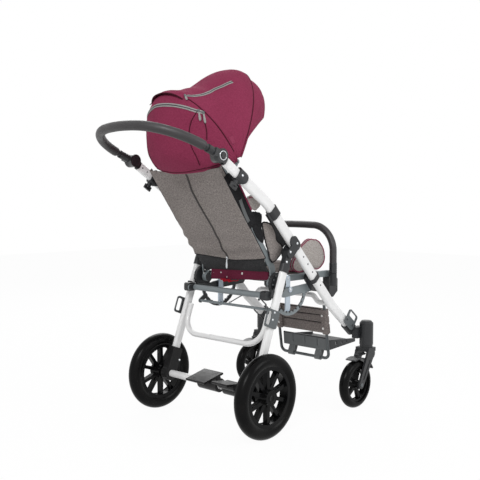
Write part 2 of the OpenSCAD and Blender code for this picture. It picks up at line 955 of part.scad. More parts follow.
// Caster forks, swivel locks and wheels
fork_gap = 3;
fork_t = 9;
fork_in = caster_w / 2 + fork_gap;
fork_out = fork_in + fork_t;
crown_low = 213;
crown_high = 228;
flange_d = 50;
fork_top_r = 20;
fork_foot_r = 15;
fork_axle_d = 10;
fender_gap = 7;
fender_t = 5;
fender_from = 30;
fender_to = 108;
lock_pin_d = 8;
lock_x = caster_x - notch_r;
lock_tab_t = 6;
lock_tab_w = 16;
lock_tab_reach = 50;
lock_tab_low = 200;
fork_set_back = 4;
fork_set_down = 8;
fork_groove_w = 10;
fork_groove_depth = 2.5;
fork_groove_shares = [0.24, 0.8];
fork_head = [caster_x - fork_set_back, crown_low - fork_set_down];
fork_foot = [wheel_x, caster_r];
module caster_fork() {
  color("black")
    translate([0, caster_y, 0])
      difference() {
        union() {
          translate([caster_x, 0, crown_low])
            cylinder(h = stem_top - crown_low, d = stem_d);
          translate([caster_x, 0, crown_high])
            cylinder(h = housing_low - apart - crown_high, d = flange_d);
          slab(-fork_out, fork_out)
            translate([caster_x - fork_top_r - lock_pin_d, crown_low])
              square([2 * fork_top_r + lock_pin_d, crown_high - crown_low]);
          for (low = [-fork_out, fork_in])
            slab(low, low + fork_t) {
              capsule(fork_head, fork_head - [fork_top_r / 2, 0], fork_top_r);
              translate(fork_foot)
                circle(fork_foot_r);
              polygon([fork_head + [fork_top_r, 0],
                  fork_foot + polar(-half_right, fork_foot_r),
                  fork_foot + polar(half_turn - half_right, fork_foot_r),
                  fork_head - [fork_top_r * 3 / 2, 0]]);
            }
          slab(-fork_in - overrun, fork_in + overrun)
            translate(fork_foot)
              intersection() {
                difference() {
                  circle(caster_r + fender_gap + fender_t);
                  circle(caster_r + fender_gap);
                }
                polygon([[0, 0], polar(fender_from, 2 * caster_d),
                    polar((fender_from + fender_to) / 2, 2 * caster_d),
                    polar(fender_to, 2 * caster_d)]);
              }
          slab(-fork_out, fork_out)
            translate(fork_foot)
              circle(d = fork_axle_d);
        }
        translate([lock_x, 0, crown_low - overrun])
          cylinder(h = housing_low - crown_low + overrun, d = lock_pin_d + 2 * running);
        for (low = [-fork_out - overrun, fork_out - fork_groove_depth])
          slab(low, low + fork_groove_depth + overrun)
            capsule(between(fork_head, fork_foot, fork_groove_shares[0]),
                between(fork_head, fork_foot, fork_groove_shares[1]), fork_groove_w / 2);
      }
}

module swivel_lock() {
  color("black")
    translate([lock_x, caster_y, 0]) {
      translate([0, 0, lock_tab_low])
        cylinder(h = housing_low - 2 * apart - lock_tab_low, d = lock_pin_d);
      translate([-lock_tab_reach, -lock_tab_w / 2, lock_tab_low])
        cube([lock_tab_reach + lock_pin_d / 2, lock_tab_w, lock_tab_t]);
    }
}

caster_tyre_h = 24;
caster_bed_r = caster_r - caster_tyre_h;
caster_rim_t = 8;
caster_rim_w = 26;
caster_hub_d = 34;
caster_spokes = 5;
caster_spoke_w = 13;
caster_spoke_t = 14;
module caster_place()
  translate([wheel_x, caster_y, caster_r])
    rotate([-right_angle, 0, 0])
      children();

module caster_tyre() {
  color("black")
    caster_place()
      tyre(caster_d, caster_w, caster_bed_r);
}

module caster_rim() {
  color("black")
    caster_place()
      difference() {
        union() {
          rim_ring(caster_bed_r, caster_rim_t, caster_rim_w);
          translate([0, 0, -fork_in + apart])
            cylinder(h = 2 * (fork_in - apart), d = caster_hub_d);
          for (k = [0:caster_spokes - 1])
            rotate(k * full_turn / caster_spokes)
              translate([0, 0, -caster_spoke_t / 2])
                linear_extrude(caster_spoke_t)
                  translate([0, -caster_spoke_w / 2])
                    square([caster_bed_r - caster_rim_t / 2, caster_spoke_w]);
        }
        translate([0, 0, -caster_w])
          cylinder(h = 2 * caster_w, d = fork_axle_d + 2 * running);
      }
}

// Push handle: posts in the main tubes, joints, U-shaped bar and foam grip
knuckle_r = knuckle_d / 2;
half_split = 0.3;
knuckle_half_in = 18;
knuckle_half_out = 20;
knuckle_in = frame_y - knuckle_half_in;
knuckle_out = frame_y + knuckle_half_out;
neck_h = 26;
post_from = 24;
handle_pin_d = 12;
handle_pin_len = 12;
sleeve_from = 22;
sleeve_to = 74;
sleeve_d = 28;
handle_outset = 4;
handle_half = frame_y + handle_outset;
module handle_post() {
  color("white") {
    side_plane(frame_y)
      straight_bar(knuckle + post_dir * post_from, tube_top + post_dir * post_inside)
        oval(post_depth, post_width);
    slab(knuckle_in, frame_y)
      translate(knuckle)
        circle(knuckle_r);
    slab(frame_y - post_width / 2, frame_y)
      translate(knuckle)
        rotate(heading(knuckle, upper_bend))
          translate([0, -neck_h / 2])
            square([post_from + neck_h / 2, neck_h]);
    slab(frame_y, frame_y + handle_pin_len)
      translate(knuckle)
        circle(d = handle_pin_d);
  }
}

// Drawing in the handle's own plane: first axis to the rear, second axis to the left
module handle_plane()
  translate([knuckle.x, 0, knuckle.y])
    rotate([0, handle_tilt, 0])
      mirror([1, 0, 0])
        children();

bow_centre = handle_reach - handle_bow;
corner_y = handle_half - handle_corner;
corner_x = bow_centre + sqrt(pow(handle_bow - handle_corner, 2) - pow(corner_y, 2));
bow_angle = asin(corner_y / (handle_bow - handle_corner));
// The foam starts past the end sleeves, on the corner arcs
foam_start = asin(max(0, sleeve_to - corner_x) / handle_corner);
// The end sleeves cover the straight run, or their own length where that is shorter
sleeve_end = min(corner_x, sleeve_to - apart);
module handle_bends(trim) {
  lap = bend_lap * full_turn / (2 * PI * handle_corner);
  both_sides()
    translate([corner_x, corner_y])
      rotate(bow_angle - lap)
        rotate_extrude(angle = right_angle - bow_angle - trim + lap)
          translate([handle_corner, 0])
            children();
  translate([bow_centre, 0])
    rotate(-bow_angle)
      rotate_extrude(angle = 2 * bow_angle)
        translate([handle_bow, 0])
          scale(bend_swell_share)
            children();
}

module handle_tube(diameter) {
  both_sides()
    straight_bar([sleeve_from + knuckle_r / 2, handle_half], [corner_x + bend_lap, handle_half])
      circle(d = diameter * (2 - bend_swell_share));
  handle_bends(0)
    circle(d = diameter);
}

module handle_bar() {
  color("silver")
    handle_plane()
      handle_tube(handle_tube_d);
}

module handle_grip() {
  color("black")
    handle_plane()
      difference() {
        union() {
          handle_bends(foam_start)
            circle(d = grip_d);
          if (corner_x > sleeve_to)
            both_sides()
              straight_bar([sleeve_to, handle_half], [corner_x + bend_lap, handle_half])
                circle(d = grip_d * (2 - bend_swell_share));
        }
        handle_tube(handle_tube_d + 2 * slip);
      }
}

module handle_knuckles() {
  color("black")
    both_sides()
      difference() {
        union() {
          slab(frame_y + half_split, knuckle_out)
            translate(knuckle)
              circle(knuckle_r);
          handle_plane()
            straight_bar([sleeve_from, handle_half], [sleeve_end, handle_half])
              circle(d = sleeve_d);
          handle_plane()
            translate([0, frame_y + half_split, -neck_h / 2])
              cube([sleeve_from + neck_h / 2, knuckle_out - frame_y - half_split, neck_h]);
        }
        slab(frame_y - overrun, frame_y + handle_pin_len + apart)
          translate(knuckle)
            circle(d = handle_pin_d + 2 * running);
        slab(knuckle_out - button_travel - apart, knuckle_out + overrun)
          translate(knuckle)
            circle(d = button_d + 2 * running);
        handle_plane()
          straight_bar([sleeve_from + knuckle_r / 2, handle_half],
                [sleeve_end + overrun, handle_half])
            circle(d = handle_tube_d);
        slab(knuckle_in - overrun, frame_y + half_split)
          translate(knuckle)
            circle(knuckle_r + apart);
      }
}

module handle_button() {
  color("black")
    slab(knuckle_out - apart / 2, knuckle_out + button_travel)
      translate(knuckle)
        circle(d = button_d);
}

// Seat frame: two rails with cross bars and the recline pins
recline = [recline_x, recline_z];
rail_front = 490;
recline_eye_r = 18;
recline_pin_d = 14;
cover_in = quad_out + arm_gap / 3;
cover_t = 17;
seat_bar_d = 16;
seat_bar_in = 16;
rail_mid = recline_z + rail_h / 2;
module seat_frame() {
  color("gray") {
    both_sides() {
      slab(rail_in, rail_out) {
        translate(recline)
          circle(recline_eye_r);
        translate(recline)
          square([rail_front - recline_x, rail_h]);
      }
      slab(rail_out, cover_in)
        translate(recline)
          circle(d = recline_pin_d);
    }
    for (x = [recline_x + seat_bar_in, rail_front - seat_bar_in])
      slab(-rail_in, rail_in)
        translate([x, rail_mid])
          circle(d = seat_bar_d);
  }
}

// Silver arms that hang from the rails and lock into the tilt arcs
arm_r = 12;
arm_foot_r = arc_r - arc_w;
pin_head_d = 20;
pin_head_t = 3.4;
plunger_d = 10;
plunger_in = 8;
module lock_arms() {
  foot = tilt - [0, arm_foot_r];
  color("silver")
    both_sides() {
      slab(rail_out, arm_out)
        capsule([tilt_x, rail_mid], foot, arm_r);
      slab(arm_out, quad_out + apart + pin_head_t)
        translate(tilt)
          circle(d = tilt_pin_d);
      slab(quad_out + apart, quad_out + apart + pin_head_t)
        translate(tilt)
          circle(d = pin_head_d);
      slab(rail_out - plunger_in, quad_in - apart)
        translate(foot)
          circle(d = plunger_d);
    }
}

// Burgundy sling between the rails, padded below, and its rear edge
sling_gap = 11;
sling_from = recline_x + seat_bar_in + sling_gap;
sling_to = rail_front - seat_bar_in - sling_gap;
sling_top = 8;
sling_edge = 4;
sling_sag = 18;
sling_rear_t = 6;
sling_rear_low = -10;
sling_rear_high = 34;
module seat_sling() {
  size = [sling_to - sling_from, 2 * rail_in];
  color("maroon") {
    translate([(sling_from + sling_to) / 2, 0, recline_z + sling_top])
      skin(pad_grid(size, 0, 0, 0, 0), pad_grid(size, 0, 0, -sling_edge, -sling_sag));
    slab(-rail_in, rail_in)
      translate(recline + [-sling_rear_t, sling_rear_low])
        square([sling_rear_t, sling_rear_high - sling_rear_low]);
  }
}

// Seat cushion and side pads
cushion_edge = 20;
cushion_draw_share = 0.05;
cushion_round_share = 0.18;
module seat_cushion() {
  size = [cushion_len, cushion_w];
  color("gray")
    translate([(sling_from + sling_to) / 2, 0, recline_z + sling_top])
      skin(pad_grid(size, cushion_round_share, cushion_draw_share, cushion_edge, cushion_t),
        pad_grid(size, cushion_round_share, cushion_draw_share, 0, 0));
}

side_pad_front = 470;
side_pad_y = 149;
side_pad_edge = 10;
side_pad_round_share = 0.75;
module side_pads() {
  size = [side_pad_len, side_pad_h];
  color("gray")
    both_sides()
      translate([side_pad_front - side_pad_len / 2, side_pad_y + side_pad_t / 2,
           recline_z + rail_h + apart + side_pad_h / 2])
        rotate([right_angle, 0, 0])
          skin(pad_grid(size, side_pad_round_share, 0, side_pad_edge / 2, side_pad_t / 2),
            pad_grid(size, side_pad_round_share, 0, -side_pad_edge / 2, -side_pad_t / 2));
}

// Fluted covers over the recline hinges
flute_count = 20;
flute_d = 7;
cover_face_share = 0.7;
cover_step = 4;
module recliner_covers() {
  color("black")
    both_sides() {
      slab(cover_in, cover_in + cover_t - cover_step)
        translate(recline)
          difference() {
            circle(d = cover_d);
            for (k = [0:flute_count - 1])
              translate(polar(k * full_turn / flute_count, cover_d / 2 + flute_d / 4))
                circle(d = flute_d);
          }
      slab(cover_in + cover_t - cover_step, cover_in + cover_t)
        translate(recline)
          circle(d = cover_d * cover_face_share);
    }
}

// Front sockets: legrest hinges and holders for the bumper bar
legrest = [legrest_x, legrest_z];
bumper_x = 485;
bumper_y = bumper_spacing / 2;
block_in = 140;
block_out = rail_out + 4 * running;
block_front = 54;
block_high = 56;
block_low = 46;
block_cut = 24;
hinge_pin_d = 10;
hinge_pin_len = 26;
bumper_socket_d = 30;
bumper_socket_low = 474;
bumper_socket_high = 522;
bumper_floor = 6;
module front_sockets() {
  color("black")
    both_sides()
      difference() {
        union() {
          slab(block_in, block_out)
            polygon([[rail_front, legrest_z + block_high],
                [rail_front + block_cut, legrest_z + block_high],
                [rail_front + block_front, legrest_z + block_cut],
                [rail_front + block_front, legrest_z - block_cut],
                [rail_front + block_cut, legrest_z - block_low],
                [rail_front, legrest_z - block_cut]]);
          slab(block_in - hinge_pin_len, block_in)
            translate(legrest)
              circle(d = hinge_pin_d);
          translate([bumper_x, bumper_y, bumper_socket_low])
            cylinder(h = bumper_socket_high - bumper_socket_low, d = bumper_socket_d);
          slab(block_out - overrun, bumper_y)
            translate([rail_front, bumper_socket_low])
              square([bumper_x + bumper_socket_d / 3 - rail_front,
                  bumper_socket_high - bumper_socket_low]);
        }
        translate([bumper_x, bumper_y, bumper_socket_low + bumper_floor])
          cylinder(h = bumper_socket_high - bumper_socket_low, d = bumper_tube_d + 2 * running);
      }
}

// Foam covered bumper bar
module bumper_bar() {
  low = bumper_socket_low + bumper_floor + apart;
  high = bumper_top - bumper_d / 2;
  foam_low = bumper_socket_high + apart;
  color("black")
    cross_plane(bumper_x) {
      for (side = [-1, 1])
        straight_bar([side * bumper_y, low], [side * bumper_y, foam_low])
          circle(d = bumper_tube_d);
      bent_bar([[-bumper_y, foam_low], [-bumper_y, high], [bumper_y, high], [bumper_y, foam_low]],
          [0, bumper_bend, bumper_bend, 0])
        circle(d = bumper_d);
    }
}

// Backrest, drawn from the recline hinge: first axis to the front, second axis up the back
bar_in = rail_out + apart;
bar_t = 5.2;
bar_out = bar_in + bar_t;
bar_mid = 28;
bar_w = 26;
bar_low = 50;
panel_low = 94;
back_bar_d = 16;
back_bar_low = 68;
back_bar_high = panel_low + back_panel_h + back_bar_d / 2 + 2 * slip;
bar_high = back_bar_high + bar_w / 2;
hood_pivot = [-40, 936];
hood_arm_r = 8;
hood_arm_t = 3;
hood_arm_drop = 34;
hood_arm_low = back_bar_high - hood_arm_drop;
hood_link_in = 184.5;
hood_link_t = 4;
hood_pin_d = 6;
module back_frame_place()
  translate(recline)
    rotate(back_lean)
      children();

function back_point(front, up) = recline + [front * cos(back_lean) - up * sin(back_lean),
                      front * sin(back_lean) + up * cos(back_lean)];

module back_frame() {
  color("dimgray") {
    both_sides() {
      slab(bar_in, bar_out)
        difference() {
          back_frame_place() {
            circle(recline_eye_r);
            capsule([0, 0], [bar_mid, bar_low], bar_w / 2);
            capsule([bar_mid, bar_low], [bar_mid, bar_high], bar_w / 2);
          }
          translate(recline)
            circle(d = recline_pin_d + 2 * running);
        }
      slab(bar_out, bar_out + hood_arm_t)
        capsule(back_point(bar_mid, hood_arm_low), hood_pivot, hood_arm_r);
      slab(bar_out, hood_link_in - apart)
        translate(hood_pivot)
          circle(hood_arm_r);
      slab(bar_out, hood_link_in + hood_link_t)
        translate(hood_pivot)
          circle(d = hood_pin_d);
    }
    for (up = [back_bar_low, back_bar_high])
      slab(-bar_in, bar_in)
        translate(back_point(bar_mid, up))
          circle(d = back_bar_d);
  }
}

// Upholstery of the backrest, drawn as [up, across, to the front]
module back_pad_place(front, up)
  translate([back_point(front, up).x, 0, back_point(front, up).y])
    rotate([0, -back_lean - right_angle, 0])
      children();

panel_rear = 30;
panel_front = 36;
panel_round_share = 0.1;
module back_panel() {
  size = [back_panel_h, back_panel_w];
  color("gray")
    back_pad_place(0, panel_low + back_panel_h / 2)
      skin(pad_grid(size, panel_round_share, 0, -panel_rear, back_bulge - panel_rear),
        pad_grid(size, panel_round_share, 0, -panel_front, -panel_front));
}

back_cushion_low = 78;
back_cushion_edge = 18;
module back_cushion() {
  size = [back_cushion_h, back_cushion_w];
  color("gray")
    back_pad_place(panel_front + apart, back_cushion_low + back_cushion_h / 2)
      skin(pad_grid(size, cushion_round_share, cushion_draw_share, 0, 0),
        pad_grid(size, cushion_round_share, cushion_draw_share,
             -back_cushion_edge, -back_cushion_t));
}

// Wings beside the backrest: a low side panel and a small pad at chest height
wing_sizes = [[108, 185], [120, 64]];
wing_places = [[86, 150], [86, 292]];
wing_edge = 4;
wing_crowns = [9, 12];
module back_wings() {
  color("gray")
    both_sides()
      for (k = [0, 1])
        side_plane(bar_out + apart)
          back_frame_place()
            translate(wing_places[k])
              mirror([0, 0, 1])
                skin(pad_grid(wing_sizes[k], side_pad_round_share, 0, wing_edge,
                       wing_crowns[k], small_range),
                  pad_grid(wing_sizes[k], side_pad_round_share, 0, 0, 0, small_range));
}

// Hood: arches in planes through the pivot line, each with its own angle and height.
// An arch is a superellipse of the half width across and the height away from the pivots.
hood_narrowing = 2;
hood_rear_half_w = hood_half_w - hood_narrowing;
bow_front = 66;
hood_hem = 207;
hood_power_front = 2.1;
hood_power_rear = 1.93;
top_angles = [66, 72, 79, 87, 95, 103, 111];
top_radius_shares = [1, 0.9322, 0.8601, 0.7764, 0.7228, 0.7149, 0.712];
rear_angles = [111, 117, 124, 132, 142, 154, 167, 180, 194, 207];
rear_radius_shares = [0.712, 0.728, 0.7521, 0.7254, 0.6416, 0.5636, 0.4849, 0.4022, 0.3083, 0.2174];
arch_steps = 16;
arch_start = 8;
visor_start = 8;
function arch_power(angle) = between([hood_power_front, 0], [hood_power_rear, 0],
  clamped((angle - bow_front) / (hood_hem - bow_front))).x;
function arch_half(angle) = between([hood_half_w, 0], [hood_rear_half_w, 0],
  clamped((angle - bow_front) / (hood_hem - bow_front))).x;
function hood_spot(angle, across, radius) =
  [hood_pivot.x + radius * cos(angle), across, hood_pivot.y + radius * sin(angle)];
function arch(angle, radius, inset, start) = [for (k = [0:arch_steps])
  let (s = start + (half_turn - 2 * start) * k / arch_steps, power = 2 / arch_power(angle))
  hood_spot(angle, (arch_half(angle) - inset) * sign(cos(s)) * pow(abs(cos(s)), power),
       (radius - inset) * pow(sin(s), power))];

module hood_piece(angles, shares)
  skin([for (k = [0:len(angles) - 1]) arch(angles[k], hood_rise * shares[k], 0, arch_start)],
    [for (k = [0:len(angles) - 1]) arch(angles[k], hood_rise * shares[k], hood_t, arch_start)]);

module hood_rear() {
  color("maroon")
    hood_piece(rear_angles, rear_radius_shares);
}

module hood_top() {
  color("maroon")
    hood_piece(top_angles, top_radius_shares);
}

// Visor ahead of the front bow: it starts at the sides and reaches forward in the middle
visor_steps = 5;
visor_flat_share = 0.17;
visor_power = 0.7;
visor_bulge_share = 0.089;
visor_drop_share = 0.1;
visor_narrow_share = 0.08;
visor_gap = 0.4;
visor_least = 5;
visor_link_angle = 58;
visor_link_len = 64;
visor_link_r = 6;
function visor_row(share, inset) = [for (k = [0:arch_steps])
  let (
    s = visor_start + (half_turn - 2 * visor_start) * k / arch_steps,
    power = 2 / hood_power_front,
    height = pow(sin(s), power),
    reach = pow(clamped((height - visor_flat_share) / (1 - visor_flat_share)), visor_power),
    angle = bow_front - visor_gap - share * (visor_least + (visor_angle - visor_least) * reach),
    swell = 1 + visor_bulge_share * sin(half_turn * share) - visor_drop_share * share)
  hood_spot(angle, (hood_half_w - inset) * sign(cos(s)) * pow(abs(cos(s)), power)
         * (1 - visor_narrow_share * share * reach),
       (hood_rise * swell - inset) * height)];

module hood_front() {
  color("maroon") {
    skin([for (k = [visor_steps:-1:0]) visor_row(k / visor_steps, 0)],
      [for (k = [visor_steps:-1:0]) visor_row(k / visor_steps, hood_t)]);
    both_sides()
      slab(hood_link_in, hood_link_in + hood_link_t)
        difference() {
          capsule(hood_pivot, hood_pivot + polar(visor_link_angle, visor_link_len), visor_link_r);
          translate(hood_pivot)
            circle(d = hood_pin_d + 2 * running);
        }
  }
}

// Legrest: a U-shaped tube with hinge hubs, the calf pad and the footplate
legrest_hub_d = 26;
legrest_bend = 22;
legrest_half = legrest_w / 2;
legrest_dir = [sin(legrest_swing), -cos(legrest_swing)];
foot_bar = legrest + legrest_dir * legrest_len;
legrest_hub_half = 8;
module legrest_plane()
  translate([legrest.x, 0, legrest.y])
    rotate([0, -legrest_swing, 0])
      cross_plane(0)
        children();

module legrest_frame() {
  color("dimgray")
    difference() {
      union() {
        legrest_plane()
          bent_bar([[-legrest_half, 0], [-legrest_half, -legrest_len],
               [legrest_half, -legrest_len], [legrest_half, 0]],
              [0, legrest_bend, legrest_bend, 0])
            circle(d = legrest_d);
        both_sides()
          slab(legrest_half - legrest_hub_half, legrest_half + legrest_hub_half)
            translate(legrest)
              circle(d = legrest_hub_d);
      }
      both_sides()
        slab(legrest_half - legrest_hub_half - overrun, legrest_half + legrest_hub_half + overrun)
          translate(legrest)
            circle(d = hinge_pin_d + 2 * running);
    }
}

calf_t = 26;
calf_edge = 12;
calf_bands = 3;
calf_groove = 4;
calf_steps = 18;
calf_power = 6;
function calf_fall(a) = 1 - pow(abs(a), calf_power);
function calf_height(a, b) = calf_edge
  + (calf_t - calf_edge) * calf_fall(a) * (1 - pow(abs(b), crown_power))
  - calf_groove * pow(abs(cos(right_angle * calf_bands * (a + 1))), crown_power) * calf_fall(a);
function calf_grid(flat) = [for (i = [0:calf_steps]) [for (b = pad_range)
  let (a = 2 * i / calf_steps - 1)
  [calf_w / 2 * b, calf_h / 2 * a, flat ? 0 : calf_height(a, b)]]];
module calf_pad() {
  color("dimgray")
    legrest_plane()
      translate([0, -calf_at, legrest_d / 2 + slip])
        skin(calf_grid(false), calf_grid(true));
}

foot_side_gap = 3;
foot_half = legrest_half - legrest_d / 2 - foot_side_gap;
foot_side_h = 44;
foot_t = 6;
foot_low = 30;
foot_rise = 12;
foot_back = 3;
foot_side_t = 5;
foot_tip_h = 14;
foot_wall_lean = 5;
calf_gap = 20;
calf_at = legrest_len - foot_low - foot_wall_h - calf_gap - calf_h / 2;
foot_eye_r = 11;
foot_eye_in = 56;
foot_eye_out = 84;
foot_hole_shares = [0.3, 0.5, 0.68];
foot_hole_ds = [14, 10, 7];
foot_slit_w = 3;
foot_slit_margin = 9;
foot_slit_shares = [-0.55, 0, 0.55];
module footplate() {
  rear = foot_bar + [foot_back, foot_low];
  tip = foot_bar + [foot_len, foot_low + foot_rise];
  color("black") {
    difference() {
      slab(-foot_half, foot_half)
        polygon([rear, tip, tip + [0, foot_t], rear + [foot_t, foot_t],
            rear + [foot_t - foot_wall_lean, foot_wall_h], rear + [-foot_wall_lean, foot_wall_h]]);
      for (share = foot_slit_shares)
        slab(share * foot_half - foot_slit_w / 2, share * foot_half + foot_slit_w / 2)
          translate(rear + [-2 * foot_wall_lean, foot_t + foot_slit_margin])
            square([foot_t + 3 * foot_wall_lean, foot_wall_h - foot_t - 2 * foot_slit_margin]);
    }
    both_sides() {
      slab(foot_half - foot_side_t, foot_half)
        difference() {
          polygon([rear, tip, tip + [0, foot_tip_h], rear + [0, foot_side_h]]);
          for (k = [0:len(foot_hole_shares) - 1])
            translate(between(rear, tip, foot_hole_shares[k]) + [0, foot_t + foot_hole_ds[k]])
              circle(d = foot_hole_ds[k]);
        }
      slab(foot_eye_in, foot_eye_out)
        difference() {
          capsule(foot_bar, rear + [foot_eye_r, foot_t / 2], foot_eye_r);
          translate(foot_bar)
            circle(d = legrest_d + 2 * running);
          translate([rear.x - 2 * foot_eye_r, rear.y + foot_t])
            square([6 * foot_eye_r, 3 * foot_eye_r]);
        }
    }
  }
}

// The whole buggy is centred between the handle's grip and the footplate's tip
rear_most = knuckle.x - handle_reach * cos(handle_tilt) - grip_d / 2;
front_most = foot_bar.x + foot_len;
centre_x = (rear_most + front_most) / 2;
module place()
  translate([-centre_x, 0, 0])
    children();

place() main_tube();  // main_tube_left
place() right_side() main_tube();  // main_tube_right
place() height_clamps();
place() mid_clamps();
place() fold_brackets();
place() caster_housings();
place() front_crossbar();
place() tie_downs_front();
place() tilt_quadrants();
place() carrier_bars();
place() carrier_mounts();
place() release_cable();
place() rear_leg();  // rear_leg_left
place() right_side() rear_leg();  // rear_leg_right
place() leg_caps();
place() u_crossbar();
place() axle_beam();
place() axle_holders();
place() tie_downs_rear();
place() brake_pedal();
place() release_pedal();
place() rear_tyre();  // rear_tyre_left
place() right_side() rear_tyre();  // rear_tyre_right
place() rear_rim();  // rear_rim_left
place() right_side() rear_rim();  // rear_rim_right
place() caster_fork();  // caster_fork_left
place() right_side() caster_fork();  // caster_fork_right
place() swivel_lock();  // swivel_lock_left
place() right_side() swivel_lock();  // swivel_lock_right
place() caster_tyre();  // caster_tyre_left
place() right_side() caster_tyre();  // caster_tyre_right
place() caster_rim();  // caster_rim_left
place() right_side() caster_rim();  // caster_rim_right
place() handle_post();  // handle_post_left
place() right_side() handle_post();  // handle_post_right
place() handle_bar();
place() handle_grip();
place() handle_knuckles();
place() handle_button();  // handle_button_left
place() right_side() handle_button();  // handle_button_right
place() clamp_screw();  // clamp_screw_left
place() right_side() clamp_screw();  // clamp_screw_right
place() seat_frame();
place() lock_arms();
place() seat_sling();
place() seat_cushion();
place() side_pads();
place() recliner_covers();
place() front_sockets();
place() bumper_bar();
place() back_frame();
place() back_panel();
place() back_cushion();
place() back_wings();
place() hood_rear();
place() hood_top();
place() hood_front();
place() legrest_frame();
place() calf_pad();
place() footplate();
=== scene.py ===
# Special needs buggy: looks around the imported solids, in metres
import math
from types import SimpleNamespace
import bpy
import numpy as np
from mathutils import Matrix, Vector


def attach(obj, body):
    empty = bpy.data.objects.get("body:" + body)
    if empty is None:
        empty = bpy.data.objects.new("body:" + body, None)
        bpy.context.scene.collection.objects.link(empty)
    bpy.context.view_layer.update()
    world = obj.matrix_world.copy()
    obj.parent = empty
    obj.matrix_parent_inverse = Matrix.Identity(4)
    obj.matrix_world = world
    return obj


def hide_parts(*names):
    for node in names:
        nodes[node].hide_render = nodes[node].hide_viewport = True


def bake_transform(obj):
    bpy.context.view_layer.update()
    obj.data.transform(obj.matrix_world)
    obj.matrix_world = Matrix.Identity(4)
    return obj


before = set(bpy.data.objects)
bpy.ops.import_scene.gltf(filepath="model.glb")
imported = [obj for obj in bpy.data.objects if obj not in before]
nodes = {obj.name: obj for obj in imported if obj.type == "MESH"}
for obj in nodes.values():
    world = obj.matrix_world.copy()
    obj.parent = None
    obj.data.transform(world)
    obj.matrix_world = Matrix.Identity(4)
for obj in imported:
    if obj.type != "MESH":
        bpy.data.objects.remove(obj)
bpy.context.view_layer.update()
centreX = 0.170953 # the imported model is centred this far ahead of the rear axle
hands = ((1, "Left"), (-1, "Right"))
print("stage: frame loaded,", len(nodes), "nodes")


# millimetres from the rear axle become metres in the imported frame
def spot(x, y, z):
    x, y, z = np.broadcast_arrays(x, y, z)
    return np.stack([x / 1000 - centreX, y / 1000, z / 1000], -1)


# camera

viewSettings = {"place": (-1.96609, -1.88160, 0.80596), "heading": 43.869, "pitch": -3.140, "lens": 54.317,
                "sensor": 36}


def makeCamera(place, heading, pitch, lens, sensor):
    camera = bpy.data.objects.new("camera", bpy.data.cameras.new("camera"))
    bpy.context.scene.collection.objects.link(camera)
    camera.location = place
    camera.rotation_euler = (math.radians(90 + pitch), 0, math.radians(heading - 90))
    camera.data.lens = lens
    camera.data.sensor_width = sensor
    bpy.context.scene.camera = camera


makeCamera(**viewSettings)
bpy.context.scene.view_settings.view_transform = "Standard"


# shader groups

def newGroup(name, inputs, outputs):
    tree = bpy.data.node_groups.new(name, "ShaderNodeTree")
    for label, kind, value in inputs:
        tree.interface.new_socket(label, in_out="INPUT", socket_type=kind).default_value = value
    for label, kind in outputs:
        tree.interface.new_socket(label, in_out="OUTPUT", socket_type=kind)
    return tree, tree.nodes.new("NodeGroupInput").outputs, tree.nodes.new("NodeGroupOutput").inputs


# sockets are linked to a node's inputs, other values are set on them
def feed(tree, node, links):
    for key, value in links.items():
        if isinstance(value, bpy.types.NodeSocket):
            tree.links.new(value, node.inputs[key])
        else:
            node.inputs[key].default_value = value
    return node


def addNode(tree, kind, links=None, **settings):
    made = tree.nodes.new(kind)
    for key, value in settings.items():
        setattr(made, key, value)
    return feed(tree, made, links or {})


def sums(tree, operation, first, second=0.0, third=0.0):
    return addNode(tree, "ShaderNodeMath", {0: first, 1: second, 2: third}, operation=operation).outputs[0]


def blendColours(tree, share, first, second):
    return addNode(tree, "ShaderNodeMix", {0: share, 6: first, 7: second}, data_type="RGBA").outputs[2]


def objectPlace(tree):
    return addNode(tree, "ShaderNodeTexCoord").outputs["Object"]


def partsOf(tree, vector):
    return addNode(tree, "ShaderNodeSeparateXYZ", {0: vector}).outputs


def noiseAt(tree, place, scale, detail, **more):
    links = {"Vector": place, "Scale": scale, "Detail": detail, **more}
    return addNode(tree, "ShaderNodeTexNoise", links).outputs[0]


def ranged(tree, value, low, high, first=0.0, last=1.0):
    return addNode(tree, "ShaderNodeMapRange", {0: value, 1: low, 2: high, 3: first, 4: last}).outputs[0]


def clamped(tree, value):
    return addNode(tree, "ShaderNodeClamp", {0: value}).outputs[0]


number = "NodeSocketFloat"
colour = "NodeSocketColor"


# fine noise for moulded or sprayed surfaces, and slow cloudiness over the piece
def makeGrainGroup():
    tree, given, result = newGroup("surfaceGrain", [("Size", number, 900.0), ("Patch", number, 14.0)],
                                   [("Height", number), ("Cloud", number)])
    place = objectPlace(tree)
    tree.links.new(noiseAt(tree, place, given["Size"], 3.0), result["Height"])
    tree.links.new(noiseAt(tree, place, given["Patch"], 4.0), result["Cloud"])
    return tree


# plain weave from two crossed sine waves over the cloth's own map, with uneven yarn colours and painted shade in
# the troughs between threads
weaveValues = {"yarn": (0.5, 0.11), "cloud": 9.0, "cloudShare": 0.5, "heather": 170.0, "rough": 0.75, "mottle": 1.7,
               "relief": 0.22, "troughShade": 0.84}


